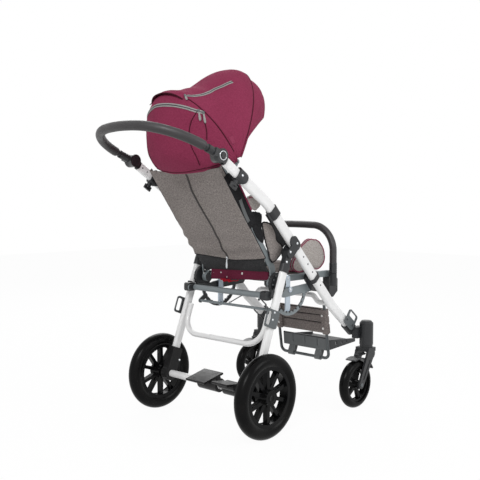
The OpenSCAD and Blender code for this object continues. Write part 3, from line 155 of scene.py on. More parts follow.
def makeWeaveGroup(yarn, cloud, cloudShare, heather, rough, mottle, relief, troughShade):
    tree, given, result = newGroup(
        "clothWeave",
        [("Threads", number, 900.0), ("Light", colour, (1, 1, 1, 1)), ("Dark", colour, (0, 0, 0, 1)),
         ("Flecks", number, 1.0)],
        [("Color", colour), ("Height", number)])
    cloth = addNode(tree, "ShaderNodeTexCoord").outputs["UV"]
    parts = partsOf(tree, cloth)
    turn = sums(tree, "MULTIPLY", given["Threads"], math.pi)
    warp, weft = [sums(tree, "SINE", sums(tree, "MULTIPLY", parts[k], turn)) for k in (0, 1)]
    over = sums(tree, "GREATER_THAN", sums(tree, "MULTIPLY", warp, weft), 0.0)
    ridge = addNode(tree, "ShaderNodeMix", {0: over, 2: sums(tree, "ABSOLUTE", warp),
                                           3: sums(tree, "ABSOLUTE", weft)}).outputs[0]
    stripes = []
    for stretch in ((*yarn, 1.0), (*yarn[::-1], 1.0)):
        along = addNode(tree, "ShaderNodeVectorMath", {0: cloth, 1: stretch}, operation="MULTIPLY").outputs[0]
        stripes.append(noiseAt(tree, along, given["Threads"], 2.0))
    uneven = sums(tree, "SUBTRACT", sums(tree, "ADD", *stripes), 1.0)
    spread = sums(tree, "MULTIPLY_ADD", uneven, given["Flecks"], 0.5)
    slow = sums(tree, "SUBTRACT", noiseAt(tree, objectPlace(tree), cloud, 3.0), 0.5)
    share = sums(tree, "MULTIPLY_ADD", slow, cloudShare, spread)
    patchy = sums(tree, "SUBTRACT", noiseAt(tree, cloth, heather, 4.0, Roughness=rough), 0.5)
    share = sums(tree, "MULTIPLY_ADD", sums(tree, "MULTIPLY", patchy, mottle), given["Flecks"], share)
    mixed = blendColours(tree, clamped(tree, share), given["Dark"], given["Light"])
    # colour darkened where the weave dips: painted shade in the troughs
    tone = sums(tree, "MULTIPLY_ADD", ridge, relief, troughShade)
    tinted = addNode(tree, "ShaderNodeVectorMath", {0: mixed, "Scale": tone}, operation="SCALE").outputs[0]
    tree.links.new(tinted, result["Color"])
    tree.links.new(ridge, result["Height"])
    return tree


# worn edges: where a rounded normal leaves the flat one, broken up by noise
rubValues = {"radius": 0.0015, "patch": 60.0, "gain": 3.0, "offset": -1.1}


def makeRubGroup(radius, patch, gain, offset):
    tree, given, result = newGroup("rubbedEdge", [("Amount", number, 2.0)], [("Mask", number)])
    soft = addNode(tree, "ShaderNodeBevel", {"Radius": radius}, samples=3).outputs[0]
    flat = addNode(tree, "ShaderNodeNewGeometry").outputs["Normal"]
    same = addNode(tree, "ShaderNodeVectorMath", {0: soft, 1: flat}, operation="DOT_PRODUCT").outputs["Value"]
    edge = sums(tree, "MULTIPLY", sums(tree, "SUBTRACT", 1.0, same), given["Amount"])
    broken = sums(tree, "MULTIPLY_ADD", noiseAt(tree, objectPlace(tree), patch, 4.0), gain, offset)
    tree.links.new(clamped(tree, sums(tree, "MULTIPLY", edge, broken)), result["Mask"])
    return tree


# a film of dust that is thicker near the ground
dustValues = {"patch": 22.0, "bare": 0.38, "full": 0.72}
dustColour = (0.22, 0.2, 0.175, 1)


def makeDustGroup(patch, bare, full):
    tree, given, result = newGroup("floorDust", [("Top", number, 0.3), ("Amount", number, 0.3)], [("Mask", number)])
    place = objectPlace(tree)
    low = ranged(tree, partsOf(tree, place)[2], 0.0, given["Top"], 1.0, 0.0)
    spread = ranged(tree, noiseAt(tree, place, patch, 5.0), bare, full)
    mask = sums(tree, "MULTIPLY", sums(tree, "MULTIPLY", low, spread), given["Amount"])
    tree.links.new(mask, result["Mask"])
    return tree


# faces that look towards the middle of the object, painted dark as shade between the two sides
def makeInnerShadeGroup():
    tree, _, result = newGroup("innerFacesShade", [], [("Mask", number)])
    side = sums(tree, "SIGN", partsOf(tree, objectPlace(tree))[1])
    turn = partsOf(tree, addNode(tree, "ShaderNodeNewGeometry").outputs["Normal"])[1]
    inward = sums(tree, "MULTIPLY", sums(tree, "MULTIPLY", side, turn), -1.0)
    tree.links.new(ranged(tree, inward, 0.3, 0.6), result["Mask"])
    return tree


# inside of a cylinder along the object's width, for a round end in another colour
def makeDiscGroup():
    tree, given, result = newGroup("roundEnd", [("Ahead", number, 0.0), ("Height", number, 0.0),
                                                ("Radius", number, 0.02)], [("Mask", number)])
    parts = partsOf(tree, objectPlace(tree))
    ahead, up = [sums(tree, "POWER", sums(tree, "SUBTRACT", parts[k], given[label]), 2.0)
                 for k, label in ((0, "Ahead"), (2, "Height"))]
    away = sums(tree, "SQRT", sums(tree, "ADD", ahead, up))
    tree.links.new(sums(tree, "LESS_THAN", away, given["Radius"]), result["Mask"])
    return tree


grainGroup = makeGrainGroup()
innerShadeGroup = makeInnerShadeGroup()
discGroup = makeDiscGroup()
weaveGroup = makeWeaveGroup(**weaveValues)
rubGroup = makeRubGroup(**rubValues)
dustGroup = makeDustGroup(**dustValues)


def useGroup(tree, group, **values):
    return addNode(tree, "ShaderNodeGroup", values, node_tree=group).outputs


def newMaterial(name):
    material = bpy.data.materials.new(name)
    material.use_nodes = True
    return material, material.node_tree, material.node_tree.nodes["Principled BSDF"]


def shade(rgb, share=1):
    return (rgb[0] * share, rgb[1] * share, rgb[2] * share, 1)


fineBump = 0.0004
cloudRange = (0.3, 0.7)
roughSpread = (-0.05, 0.06)


# a hard finish: cloudy colour, painted shade on inward faces, fine bump, rubbed edges and dust, each from its group
def hardFinish(name, colour, rough, grainSize, bump, bumpDepth=fineBump, deep=0.86, pale=1.14, patch=14.0,
               inner=None, end=None, wall=None, rub=None, dust=None, metal=0.0, coat=0.0, coatRough=0.12,
               specular=0.5):
    material, tree, surface = newMaterial(name)
    grain = useGroup(tree, grainGroup, Size=grainSize, Patch=patch)
    tint = blendColours(tree, grain["Cloud"], shade(colour, deep), shade(colour, pale))
    # inner: a colour painted as shade on faces turned towards the middle
    if inner:
        tint = blendColours(tree, useGroup(tree, innerShadeGroup)["Mask"], tint, shade(inner))
    if end:
        ahead, height, radius, dark = end
        disc = useGroup(tree, discGroup, Ahead=ahead, Height=height, Radius=radius)
        tint = blendColours(tree, disc["Mask"], tint, shade(dark))
    if wall:
        behind, top, tone = wall
        parts = partsOf(tree, objectPlace(tree))
        inside = sums(tree, "MULTIPLY", sums(tree, "LESS_THAN", parts[0], behind),
                      sums(tree, "LESS_THAN", parts[2], top))
        tint = blendColours(tree, inside, tint, shade(tone))
    if rub:
        bare, amount = rub
        tint = blendColours(tree, useGroup(tree, rubGroup, Amount=amount)["Mask"], tint, shade(bare))
    if dust:
        amount, top = dust
        film = useGroup(tree, dustGroup, Top=top, Amount=amount)
        tint = blendColours(tree, film["Mask"], tint, dustColour)
    relief = addNode(tree, "ShaderNodeBump", {"Height": grain["Height"], "Strength": bump, "Distance": bumpDepth})
    feed(tree, surface, {
        "Base Color": tint, "Normal": relief.outputs[0], "Metallic": metal, "Coat Weight": coat,
        "Coat Roughness": coatRough, "Specular IOR Level": specular,
        "Roughness": ranged(tree, grain["Cloud"], *cloudRange, *[rough + part for part in roughSpread])})
    return material


# a cloth finish: woven colour and ridges from the weave group, and a soft sheen
def clothFinish(name, light, dark, threads, flecks, bump, sheen, glow=2.2):
    material, tree, surface = newMaterial(name)
    weave = useGroup(tree, weaveGroup, Threads=threads, Flecks=flecks, Light=shade(light), Dark=shade(dark))
    relief = addNode(tree, "ShaderNodeBump", {"Height": weave["Height"], "Strength": bump, "Distance": fineBump})
    feed(tree, surface, {
        "Base Color": weave["Color"], "Normal": relief.outputs[0], "Roughness": 0.9, "Sheen Weight": sheen,
        "Sheen Roughness": 0.5, "Sheen Tint": shade(light, glow), "Specular IOR Level": 0.15})
    return material


whitePaint = dict(colour=(0.735, 0.735, 0.735), deep=0.96, pale=1.05, rough=0.32, grainSize=420, bump=0.10,
                  coat=0.35)
blackMould = dict(colour=(0.019, 0.020, 0.022), grainSize=1300, specular=0.38)
hardValues = {
    "whitePowder": dict(whitePaint, rub=((0.62, 0.61, 0.60), 1.2), dust=(0.25, 0.25)),
    "whitePost": dict(whitePaint, end=(-0.336953, 0.948, 0.034, (0.016, 0.0165, 0.018))),
    # inner: painted shade on faces turned towards the middle, here and in darkBracket
    "greyBracket": dict(colour=(0.17, 0.195, 0.205), rough=0.42, grainSize=700, bump=0.14,
                        rub=((0.36, 0.37, 0.38), 2.2), inner=(0.02, 0.021, 0.023)),
    "darkBracket": dict(colour=(0.085, 0.095, 0.1), rough=0.45, grainSize=700, bump=0.14,
                        rub=((0.24, 0.25, 0.26), 2.0), inner=(0.03, 0.032, 0.034)),
    "silverMetal": dict(colour=(0.60, 0.62, 0.64), rough=0.33, grainSize=1400, bump=0.06, metal=1.0),
    "blueZinc": dict(colour=(0.50, 0.57, 0.64), rough=0.36, grainSize=900, bump=0.06, metal=0.75, patch=40.0,
                     deep=0.8, pale=1.2),
    "blackPlastic": dict(blackMould, rough=0.40, bump=0.22, rub=((0.07, 0.072, 0.075), 1.6), dust=(0.05, 0.4)),
    "deepPlastic": dict(colour=(0.0075, 0.0075, 0.008), rough=0.38, grainSize=1300, bump=0.22, specular=0.24,
                        rub=((0.05, 0.05, 0.052), 1.6), dust=(0.03, 0.4)),
    "footPlastic": dict(blackMould, rough=0.45, bump=0.25, wall=(0.3869, 0.2425, (0.122, 0.130, 0.133))),
    "greyPlastic": dict(colour=(0.078, 0.084, 0.086), rough=0.5, grainSize=1300, bump=0.25,
                        rub=((0.15, 0.16, 0.165), 1.6)),
    "rimPlastic": dict(colour=(0.0035, 0.0035, 0.004), rough=0.2, grainSize=1100, bump=0.05, specular=0.09,
                       rub=((0.03, 0.03, 0.032), 1.2), dust=(0.03, 0.3)),
    "tyreRubber": dict(colour=(0.003, 0.003, 0.0032), rough=0.25, grainSize=1500, bump=0.10, specular=0.085,
                       rub=((0.03, 0.029, 0.028), 1.0), dust=(0.03, 0.3)),
    "gripFoam": dict(colour=(0.027, 0.0245, 0.026), rough=0.44, grainSize=2300, bump=0.5, patch=30.0,
                     bumpDepth=0.0005),
    "whiteSnap": dict(colour=(0.72, 0.71, 0.69), deep=0.95, pale=1.04, rough=0.3, grainSize=900, bump=0.05),
}

# light and dark yarn, threads, flecks, bump, sheen
clothValues = {
    "burgundyCloth": ((0.262, 0.036, 0.086), (0.165, 0.0185, 0.048), 1300, 0.9, 0.35, 0.08),
    "burgundyTape": ((0.285, 0.046, 0.10), (0.19, 0.026, 0.06), 700, 0.5, 0.5, 0.08),
    # burgundy darkened as painted shade, for the strip under the seat
    "shadedBurgundy": ((0.15, 0.02, 0.048), (0.075, 0.009, 0.022), 1300, 0.9, 0.35, 0.06),
    "darkPiping": ((0.07, 0.009, 0.02), (0.035, 0.004, 0.01), 700, 0.6, 0.4, 0.05),
    "greyCloth": ((0.315, 0.284, 0.268), (0.135, 0.119, 0.112), 1250, 1.5, 0.45, 0.1),
    "paleCloth": ((0.47, 0.435, 0.41), (0.225, 0.203, 0.192), 1250, 1.4, 0.45, 0.1),
    "calfCloth": ((0.30, 0.262, 0.248), (0.12, 0.103, 0.097), 1250, 1.5, 0.45, 0.1),
    "blackCloth": ((0.024, 0.024, 0.026), (0.008, 0.008, 0.009), 900, 1.0, 0.5, 0.06),
    "slateCloth": ((0.06, 0.06, 0.062), (0.02, 0.02, 0.021), 900, 1.0, 0.5, 0.06),
    "seamCloth": ((0.11, 0.098, 0.092), (0.05, 0.044, 0.042), 900, 1.0, 0.5, 0.06),
    "redTape": ((0.45, 0.012, 0.03), (0.25, 0.006, 0.015), 500, 0.8, 0.5, 0.2),
    "zipTape": ((0.37, 0.36, 0.355), (0.21, 0.205, 0.2), 900, 0.6, 0.4, 0.1),
}
finishes = {name: hardFinish(name, **values) for name, values in hardValues.items()}
finishes.update({name: clothFinish(name, *values) for name, values in clothValues.items()})
print("stage: finishes made,", len(finishes))


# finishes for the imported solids

def bothSides(*names):
    return [name + side for name in names for side in ("_left", "_right")]


nodeFinishes = {
    "whitePowder": bothSides("main_tube", "rear_leg") + ["u_crossbar", "axle_beam", "front_crossbar"],
    "whitePost": bothSides("handle_post"),
    "greyBracket": ["tilt_quadrants", "carrier_bars", "seat_frame", "back_frame"],
    "darkBracket": ["tie_downs_front", "tie_downs_rear", "legrest_frame"],
    "blueZinc": ["lock_arms"],
    "blackPlastic": bothSides("handle_button", "clamp_screw", "swivel_lock", "caster_fork") + [
        "handle_bar", "height_clamps", "mid_clamps", "fold_brackets", "carrier_mounts", "leg_caps",
        "handle_knuckles", "recliner_covers", "front_sockets", "caster_housings", "release_cable"],
    "deepPlastic": ["axle_holders", "brake_pedal", "release_pedal"],
    "footPlastic": ["footplate"],
    "rimPlastic": bothSides("rear_rim", "caster_rim"),
    "tyreRubber": bothSides("rear_tyre", "caster_tyre"),
    "gripFoam": ["handle_grip", "bumper_bar"],
    "burgundyCloth": ["hood_front", "hood_top", "hood_rear", "seat_sling"],
    "greyCloth": ["back_panel", "back_cushion", "back_wings", "side_pads", "seat_cushion"],
    "calfCloth": ["calf_pad"],
}
for finish, names in nodeFinishes.items():
    for name in names:
        nodes[name].data.materials.clear()
        nodes[name].data.materials.append(finishes[finish])
print("stage: solids finished")


# shared mesh makers

def unit(vectors):
    return vectors / np.maximum(np.linalg.norm(vectors, axis=-1, keepdims=True), 1e-12)


def smoothShaded(mesh):
    mesh.polygons.foreach_set("use_smooth", np.ones(len(mesh.polygons), bool))


def link(mesh, finish, body=None, smooth=True):
    piece = bpy.data.objects.new(mesh.name, mesh)
    bpy.context.scene.collection.objects.link(piece)
    mesh.materials.append(finishes[finish])
    if smooth:
        smoothShaded(mesh)
    if body:
        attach(piece, body)
    return piece


def readTable(items, name, width, kind=np.float32):
    table = np.empty(len(items) * width, kind)
    items.foreach_get(name, table)
    return table.reshape(-1, width)


def cornersOf(mesh):
    return readTable(mesh.vertices, "co", 3).astype(float)


def setCorners(mesh, points):
    mesh.vertices.foreach_set("co", np.asarray(points, np.float32).ravel())
    mesh.update()


# cloth map in metres: each face is laid flat along the axis it looks along most
def clothMap(mesh):
    corner = readTable(mesh.loops, "vertex_index", 1, np.int32)[:, 0]
    place = readTable(mesh.vertices, "co", 3)[corner]
    facing = np.abs(readTable(mesh.polygons, "normal", 3)).argmax(1)
    axis = np.repeat(facing, readTable(mesh.polygons, "loop_total", 1, np.int32)[:, 0])
    first = np.where(axis == 0, 1, 0)
    second = np.where(axis == 2, 1, 2)
    rows = np.arange(len(corner))
    layer = mesh.uv_layers.new(name="clothMap")
    layer.data.foreach_set("uv", np.stack([place[rows, first], place[rows, second]], -1).ravel())


def meshFrom(name, points, faces):
    mesh = bpy.data.meshes.new(name)
    mesh.from_pydata(points.reshape(-1, 3).tolist(), [], [list(f) for f in faces])
    mesh.update()
    clothMap(mesh)
    return mesh


# quads between neighbouring points of a table of indices
def quadsOf(index):
    return np.stack([index[:-1, :-1], index[1:, :-1], index[1:, 1:], index[:-1, 1:]], -1).reshape(-1, 4)


# two tables that cross evenly spaced values
def crossGrid(first, last, count, low, high, steps):
    return np.meshgrid(np.linspace(first, last, count), np.linspace(low, high, steps), indexing="ij")


# normals of a grid: its two slopes crossed
def gridNormals(points):
    return unit(np.cross(np.gradient(points, axis=0), np.gradient(points, axis=1)))


# the grid, turned over if its faces look away from the given direction
def facingTo(grid, direction):
    return grid if (gridNormals(grid) * direction).sum() > 0 else grid[::-1]


# a sheet with thickness: the given grid, the same grid moved along its normals, and four rims
def sheetParts(outer, thickness):
    inner = outer - gridNormals(outer) * thickness
    rows, columns = outer.shape[:2]
    top = np.arange(rows * columns).reshape(rows, columns)
    low = top + rows * columns
    rims = [np.stack([low[0], top[0]]), np.stack([top[-1], low[-1]]),
            np.stack([top[:, 0], low[:, 0]]), np.stack([low[:, -1], top[:, -1]])]
    faces = [quadsOf(top), quadsOf(low)[:, ::-1]] + [quadsOf(r) for r in rims]
    return np.concatenate([outer.reshape(-1, 3), inner.reshape(-1, 3)]), np.concatenate(faces).tolist()


def thickSheet(name, outer, thickness):
    return meshFrom(name, *sheetParts(outer, thickness))


# distances between neighbouring points of a path
def stepsOf(path):
    return np.linalg.norm(np.diff(path, axis=0), axis=1)


# distances along a path from its start
def runOf(path):
    return np.concatenate([[0], np.cumsum(stepsOf(path))])


# evenly spaced points on a smooth curve through the given ones: cubic pieces with averaged slopes
def smoothPath(points, count):
    points = np.asarray(points, float)
    knots = runOf(points)
    fine = smoothTable(np.linspace(0, knots[-1], 12 * count), knots, points)
    run = runOf(fine)
    want = np.linspace(0, run[-1], count)
    return np.stack([np.interp(want, run, fine[:, k]) for k in range(points.shape[1])], -1)


# smooth reading of a table: cubic between entries, slopes from the neighbours
def smoothTable(at, knots, values):
    knots = np.asarray(knots, float)
    values = np.asarray(values, float)
    slopes = np.gradient(values, knots, axis=0)
    k = np.clip(np.searchsorted(knots, at) - 1, 0, len(knots) - 2)
    step = knots[k + 1] - knots[k]
    t = (at - knots[k]) / step
    if values.ndim > 1:
        t, step = t[:, None], step[:, None]
    return ((2 * t**3 - 3 * t**2 + 1) * values[k] + (t**3 - 2 * t**2 + t) * step * slopes[k]
            + (3 * t**2 - 2 * t**3) * values[k + 1] + (t**3 - t**2) * step * slopes[k + 1])


# a profile carried along a path: its first axis lies across, its second along the given upright
def carried(path, profile, upright, closed=False, swell=None):
    path = np.asarray(path, float)
    if closed:
        ahead = unit(np.roll(path, -1, 0) - np.roll(path, 1, 0))
    else:
        ahead = unit(np.gradient(path, axis=0))
    side = unit(np.cross(ahead, np.broadcast_to(upright, path.shape)))
    lift = np.cross(side, ahead)
    size = np.ones(len(path)) if swell is None else np.asarray(swell, float)
    rings = (path[:, None] + size[:, None, None] * (profile[None, :, :1] * side[:, None]
                                                    + profile[None, :, 1:] * lift[:, None]))
    count, sides = rings.shape[:2]
    index = np.arange(count * sides).reshape(count, sides)
    index = np.hstack([index, index[:, :1]])
    if closed:
        index = np.vstack([index, index[:1]])
    faces = quadsOf(index).tolist()
    if not closed:
        faces += [list(range(sides)), list(range(count * sides - 1, (count - 1) * sides - 1, -1))]
    return rings.reshape(-1, 3), faces


def carry(name, path, profile, upright, swell=None):
    return meshFrom(name, *carried(path, profile, upright, swell=swell))


# evenly spaced points on a circle
def ring(radius, sides=8):
    turn = np.arange(sides) * 2 * np.pi / sides
    return np.stack([np.cos(turn), np.sin(turn)], -1) * radius


# a flat band with rounded long edges
def band(width, thick):
    turn = np.linspace(-np.pi / 2, np.pi / 2, 5)
    right = np.stack([width / 2 - thick / 2 + np.cos(turn) * thick / 2, np.sin(turn) * thick / 2], -1)
    return np.concatenate([right, -right])


# several point and face lists as one mesh
def merged(name, parts):
    points, faces, start = [], [], 0
    for some, shapes in parts:
        points.append(some)
        faces += [[k + start for k in f] for f in shapes]
        start += len(some)
    return meshFrom(name, np.concatenate(points), faces)


# a turned shape: radius and height pairs swept round an axis
def turned(place, axis, profile, sides):
    axis = unit(np.asarray(axis, float))
    helper = np.array([0, 0, 1.0]) if abs(axis[2]) < 0.9 else np.array([1.0, 0, 0])
    first = unit(np.cross(axis, helper))
    second = np.cross(axis, first)
    turn = np.arange(sides) * 2 * np.pi / sides
    out = np.cos(turn)[:, None] * first + np.sin(turn)[:, None] * second
    profile = np.asarray(profile, float)
    rings = np.asarray(place) + profile[:, None, :1] * out[None] + profile[:, None, 1:] * axis
    index = np.arange(rings.shape[0] * sides).reshape(-1, sides)
    index = np.hstack([index, index[:, :1]])
    faces = [list(f) for f in quadsOf(index)[:, ::-1]]
    last = (rings.shape[0] - 1) * sides
    faces += [list(range(sides - 1, -1, -1)), list(range(last, last + sides))]
    return rings.reshape(-1, 3), faces


# rivet and bolt heads: a low dome on a short skirt
def dome(radius, height):
    lift = np.linspace(0, np.pi / 2, 5)
    return [(radius, -0.0015)] + [(radius * max(np.cos(a), 0.06), height * np.sin(a)) for a in lift]


def headsOn(name, body, finish, heads):
    parts = [turned(place, axis, dome(radius, height), 14) for place, axis, radius, height in heads]
    return link(merged(name, parts), finish, body)


# the modifiers' result becomes the piece's own mesh
def bake(piece):
    bpy.context.view_layer.update()
    graph = bpy.context.evaluated_depsgraph_get()
    made = bpy.data.meshes.new_from_object(piece.evaluated_get(graph))
    piece.modifiers.clear()
    piece.data = made


swellFrames = 20
swellSettings = {"quality": 4, "use_pressure": True, "uniform_pressure_force": 4.0, "tension_stiffness": 12,
                 "compression_stiffness": 12, "shear_stiffness": 6}


# fabric that swells: remeshed, blown up by cloth pressure with capped movement, then subdivided
def puffUp(piece, voxel, cap):
    finish = piece.data.materials[0]
    remesh = piece.modifiers.new("even", "REMESH")
    remesh.mode = "VOXEL"
    remesh.voxel_size = voxel
    bake(piece)
    start = cornersOf(piece.data)
    soft = piece.modifiers.new("swell", "CLOTH")
    for key, value in swellSettings.items():
        setattr(soft.settings, key, value)
    soft.settings.effector_weights.gravity = 0
    soft.point_cache.frame_start = 1
    soft.point_cache.frame_end = swellFrames
    for step in range(1, swellFrames + 1):
        bpy.context.scene.frame_set(step)
    bake(piece)
    bpy.context.scene.frame_set(1)
    move = cornersOf(piece.data) - start
    reach = np.linalg.norm(move, axis=1, keepdims=True)
    setCorners(piece.data, start + move * np.minimum(1, cap / np.maximum(reach, 1e-9)))
    finer = piece.modifiers.new("finer", "SUBSURF")
    finer.levels = finer.render_levels = 1
    bake(piece)
    piece.data.materials.clear()
    piece.data.materials.append(finish)
    smoothShaded(piece.data)


# a ripple that is the same each run: a few crossed sines
def ripple(first, second, waves, start):
    return sum(size * np.sin(first * a + second * b + start + 2.4 * k) for k, (a, b, size) in enumerate(waves))


# cable between the tie rod and the right tilt plate, before the other pieces
cableValues = {"diameter": 0.004, "ferrule": [(0.0034, -0.001), (0.0034, 0.009), (0.0024, 0.011)], "points": [
    (130, 24, 422), (128, 10, 428), (125, -15, 440), (122, -45, 454), (120, -75, 464), (120, -100, 469),
    (121, -125, 469), (124, -145, 466), (129, -162, 463), (134, -173, 461), (137, -180, 460)]}


def makeCable(diameter, ferrule, points):
    path = smoothPath(spot(*np.array(points).T), 60)
    piece = link(carry("releaseCable", path, ring(diameter / 2, 12), (1, 0, 0)), "blackPlastic", "chassis")
    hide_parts("release_cable")
    ends = [turned(path[k], unit(path[k + s] - path[k]), ferrule, 12) for k, s in ((0, 1), (-1, -2))]
    link(merged("cableFerrules", ends), "silverMetal", "chassis")


makeCable(**cableValues)


# hood: arches about the pivot line, each a superellipse with its own tilt and height
hoodValues = {
    "pivotX": -40.0, "pivotZ": 936.0, "rise": 368.0, "halfFront": 190.0, "halfRear": 188.0,
    "powerFront": 2.1, "powerRear": 1.93, "thick": 0.0042, "edge": 2.5, "front": 62, "rear": 207,
    "angles": [62, 66, 72, 79, 87, 95, 103, 111, 117, 124, 132, 142, 154, 167, 180, 194, 207],
    "shares": [1.045, 1.026, .963, .878, .784, .7228, .7149, .712, .728, .7521, .7254, .6416, .5636, .4849,
               .4022, .3083, .2174],
    "visorReach": 28.0, "visorFlat": 0.26, "visorPower": 0.62, "visorBulge": 0.085, "visorDrop": 0.135,
    "visorNarrow": 0.08, "visorLeast": 1.2, "visorStep": 0.046, "visorStepLength": 0.03,
    "crownSeam": 124, "visorSeam": 47, "backFrom": 128, "backSeam": 37, "seamDepth": 2.6, "seamWidth": 4.5,
    "backSeamBow": 0.05, "backSeamStart": 6, "backRadius": 200, "leastAway": 60, "pucker": 0.7, "puckerArc": 82,
    "slack": 0.9, "slackStart": 10, "slackArc": 40, "proud": 1.2,
    "ripples": [(1, 1.3, 0.5), (2.1, -1.7, 0.4), (3.3, 2.9, 0.25)],
    "hemRise": 9.4, "hemSpan": 58.6, "flat": (0.74, 0.75), "foldReach": 190, "foldHeight": 1180,
    "around": 150, "along": 170, "visorRows": 45,
}
hood = SimpleNamespace(**hoodValues)
hoodMiddle = spot(hood.pivotX, 0, hood.pivotZ)


# a point at a distance from the pivot line, turned up from ahead
def fromPivot(away, across, angle):
    turn = np.radians(angle)
    return spot(hood.pivotX + away * np.cos(turn), across, hood.pivotZ + away * np.sin(turn))


# distance from the pivot line in millimetres
def fromPivotLine(points):
    return np.hypot(points[..., 0] - hoodMiddle[0], points[..., 2] - hoodMiddle[2]) * 1000


# a superellipse: places across and up, as shares of its half width and height
def archShares(s, power):
    s = np.radians(s)
    return np.sign(np.cos(s)) * np.abs(np.cos(s)) ** power, np.sin(s) ** power


# the hood's arches: height from the table by tilt, width and roundness blended from front to rear
def hoodSpots(angle, s):
    share = np.clip((angle - hood.front) / (hood.rear - hood.front), 0, 1)
    power = 2 / (hood.powerFront + (hood.powerRear - hood.powerFront) * share)
    half = hood.halfFront + (hood.halfRear - hood.halfFront) * share
    across, up = archShares(s, power)
    return fromPivot(hood.rise * smoothTable(angle, hood.angles, hood.shares) * up, half * across, angle)


# the visor: the front arch turned on and drawn in towards its tip, furthest over the crown
def visorSpots(share, s):
    across, up = archShares(s, 2 / hood.powerFront)
    reach = np.clip((up - hood.visorFlat) / (1 - hood.visorFlat), 0, 1) ** hood.visorPower
    angle = hood.front - share * (hood.visorLeast + (hood.visorReach - hood.visorLeast) * reach)
    swell = 1 + hood.visorBulge * np.sin(np.pi * share) - hood.visorDrop * share
    swell = swell - hood.visorStep * (1 - share) ** 2 * (1 - np.exp(-share / hood.visorStepLength))
    across = hood.halfFront * across * (1 - hood.visorNarrow * share * reach)
    return fromPivot(hood.rise * hood.shares[0] * swell * up, across, angle)


# a sewn line: a groove that is deepest on the line and fades as a bell curve
def groove(distance, depth, width):
    return -depth * np.exp(-(distance / width) ** 2)


# how far the cloth stands out: sewn lines sink, bows draw folds that die out towards the crown
def hoodLift(tilt, arc, away):
    move = np.full(np.shape(tilt), hood.proud)
    for line, depth in ((hood.front, 1.0), (hood.crownSeam, 0.8), (hood.visorSeam, 0.5)):
        move = move + groove(np.radians(tilt - line) * np.maximum(away, hood.leastAway), hood.seamDepth * depth,
                             hood.seamWidth)
    behind = tilt - hood.backFrom
    for side in (-hood.backSeam, hood.backSeam):
        bow = side * (1 - hood.backSeamBow * np.cos(behind / (hood.rear - hood.backFrom) * np.pi))
        line = groove(np.radians(arc - bow) * hood.backRadius, hood.seamDepth * 0.8, hood.seamWidth)
        move = move + np.clip(behind / hood.backSeamStart, 0, 1) * line
    low = np.clip(np.abs(arc) / hood.puckerArc, 0, 1) ** 3
    move = move + hood.pucker * low * np.sin(np.radians(tilt) * 34 + 0.08 * arc)
    slack = np.clip(behind / hood.slackStart, 0, 1) * np.clip(1 - np.abs(arc) / hood.slackArc, 0, 1)
    move = move + hood.slack * slack * np.sin(np.radians(tilt) * 15 + 0.05 * arc)
    return move + ripple(np.radians(tilt) * 6, np.radians(arc) * 5, hood.ripples, 0.7)


# point and outward direction on the finished hood at given arch angles
def onHood(angle, s, lift=0.0):
    here = hoodSpots(angle, s)
    up = unit(np.cross(hoodSpots(angle, s + 0.2) - here, hoodSpots(angle + 0.2, s) - here))
    up = up * np.sign(((here - hoodMiddle) * up).sum(-1, keepdims=True))
    return here + up * ((lift + hoodLift(angle, s - 90, fromPivotLine(here))) / 1000)[..., None], up


# points ahead of and behind the pivot, about the hood's own radius away, at the fold height; foldWithHood only
# bakes a piece's placement into its mesh
hoodStart, hoodEnd = [spot(hood.pivotX + reach, 0, hood.foldHeight) for reach in (-hood.foldReach, hood.foldReach)]


def foldWithHood(piece):
    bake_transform(piece)


# the rear hem's angle: it climbs towards the sides as the square of the arc
def hemAngle(s):
    return hood.rear - hood.hemRise * ((s - 90) / hood.hemSpan) ** 2


# the canopy: visor and body as one grid, lifted along its normals and given thickness
def makeHood():
    run, around = crossGrid(0, 1, hood.along, hood.edge, 180 - hood.edge, hood.around)
    angle = hood.front + (hemAngle(around) - hood.front) * run
    share, visorAround = [grid[:-1] for grid in crossGrid(1, 0, hood.visorRows, hood.edge, 180 - hood.edge,
                                                          hood.around)]
    outer = np.concatenate([visorSpots(share, visorAround), hoodSpots(angle, around)])
    arc = np.concatenate([visorAround, around]) - 90
    tilt = np.concatenate([hood.front - share * hood.visorReach, angle])
    move = hoodLift(tilt, arc, fromPivotLine(outer))
    up = gridNormals(outer)
    if ((outer - hoodMiddle) * up).sum() < 0:
        outer, up, move = outer[:, ::-1], -up[:, ::-1], move[:, ::-1]
    piece = link(thickSheet("hoodCanopy", outer + up * move[..., None] / 1000, hood.thick), "burgundyCloth")
    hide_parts("hood_rear", "hood_top", "hood_front")
    foldWithHood(piece)


makeHood()


# a strip on the hood through points of arch angle and place along the arch
def hoodStrip(name, places, profile, finish, lift=0.0, mirrored=False, count=150):
    parts = []
    line = smoothPath(places, count)
    for side in ((1, -1) if mirrored else (1,)):
        path, up = onHood(line[:, 0], line[:, 1] if side > 0 else 180 - line[:, 1], lift)
        parts.append(carried(path, profile, up))
    foldWithHood(link(merged(name, parts), finish))


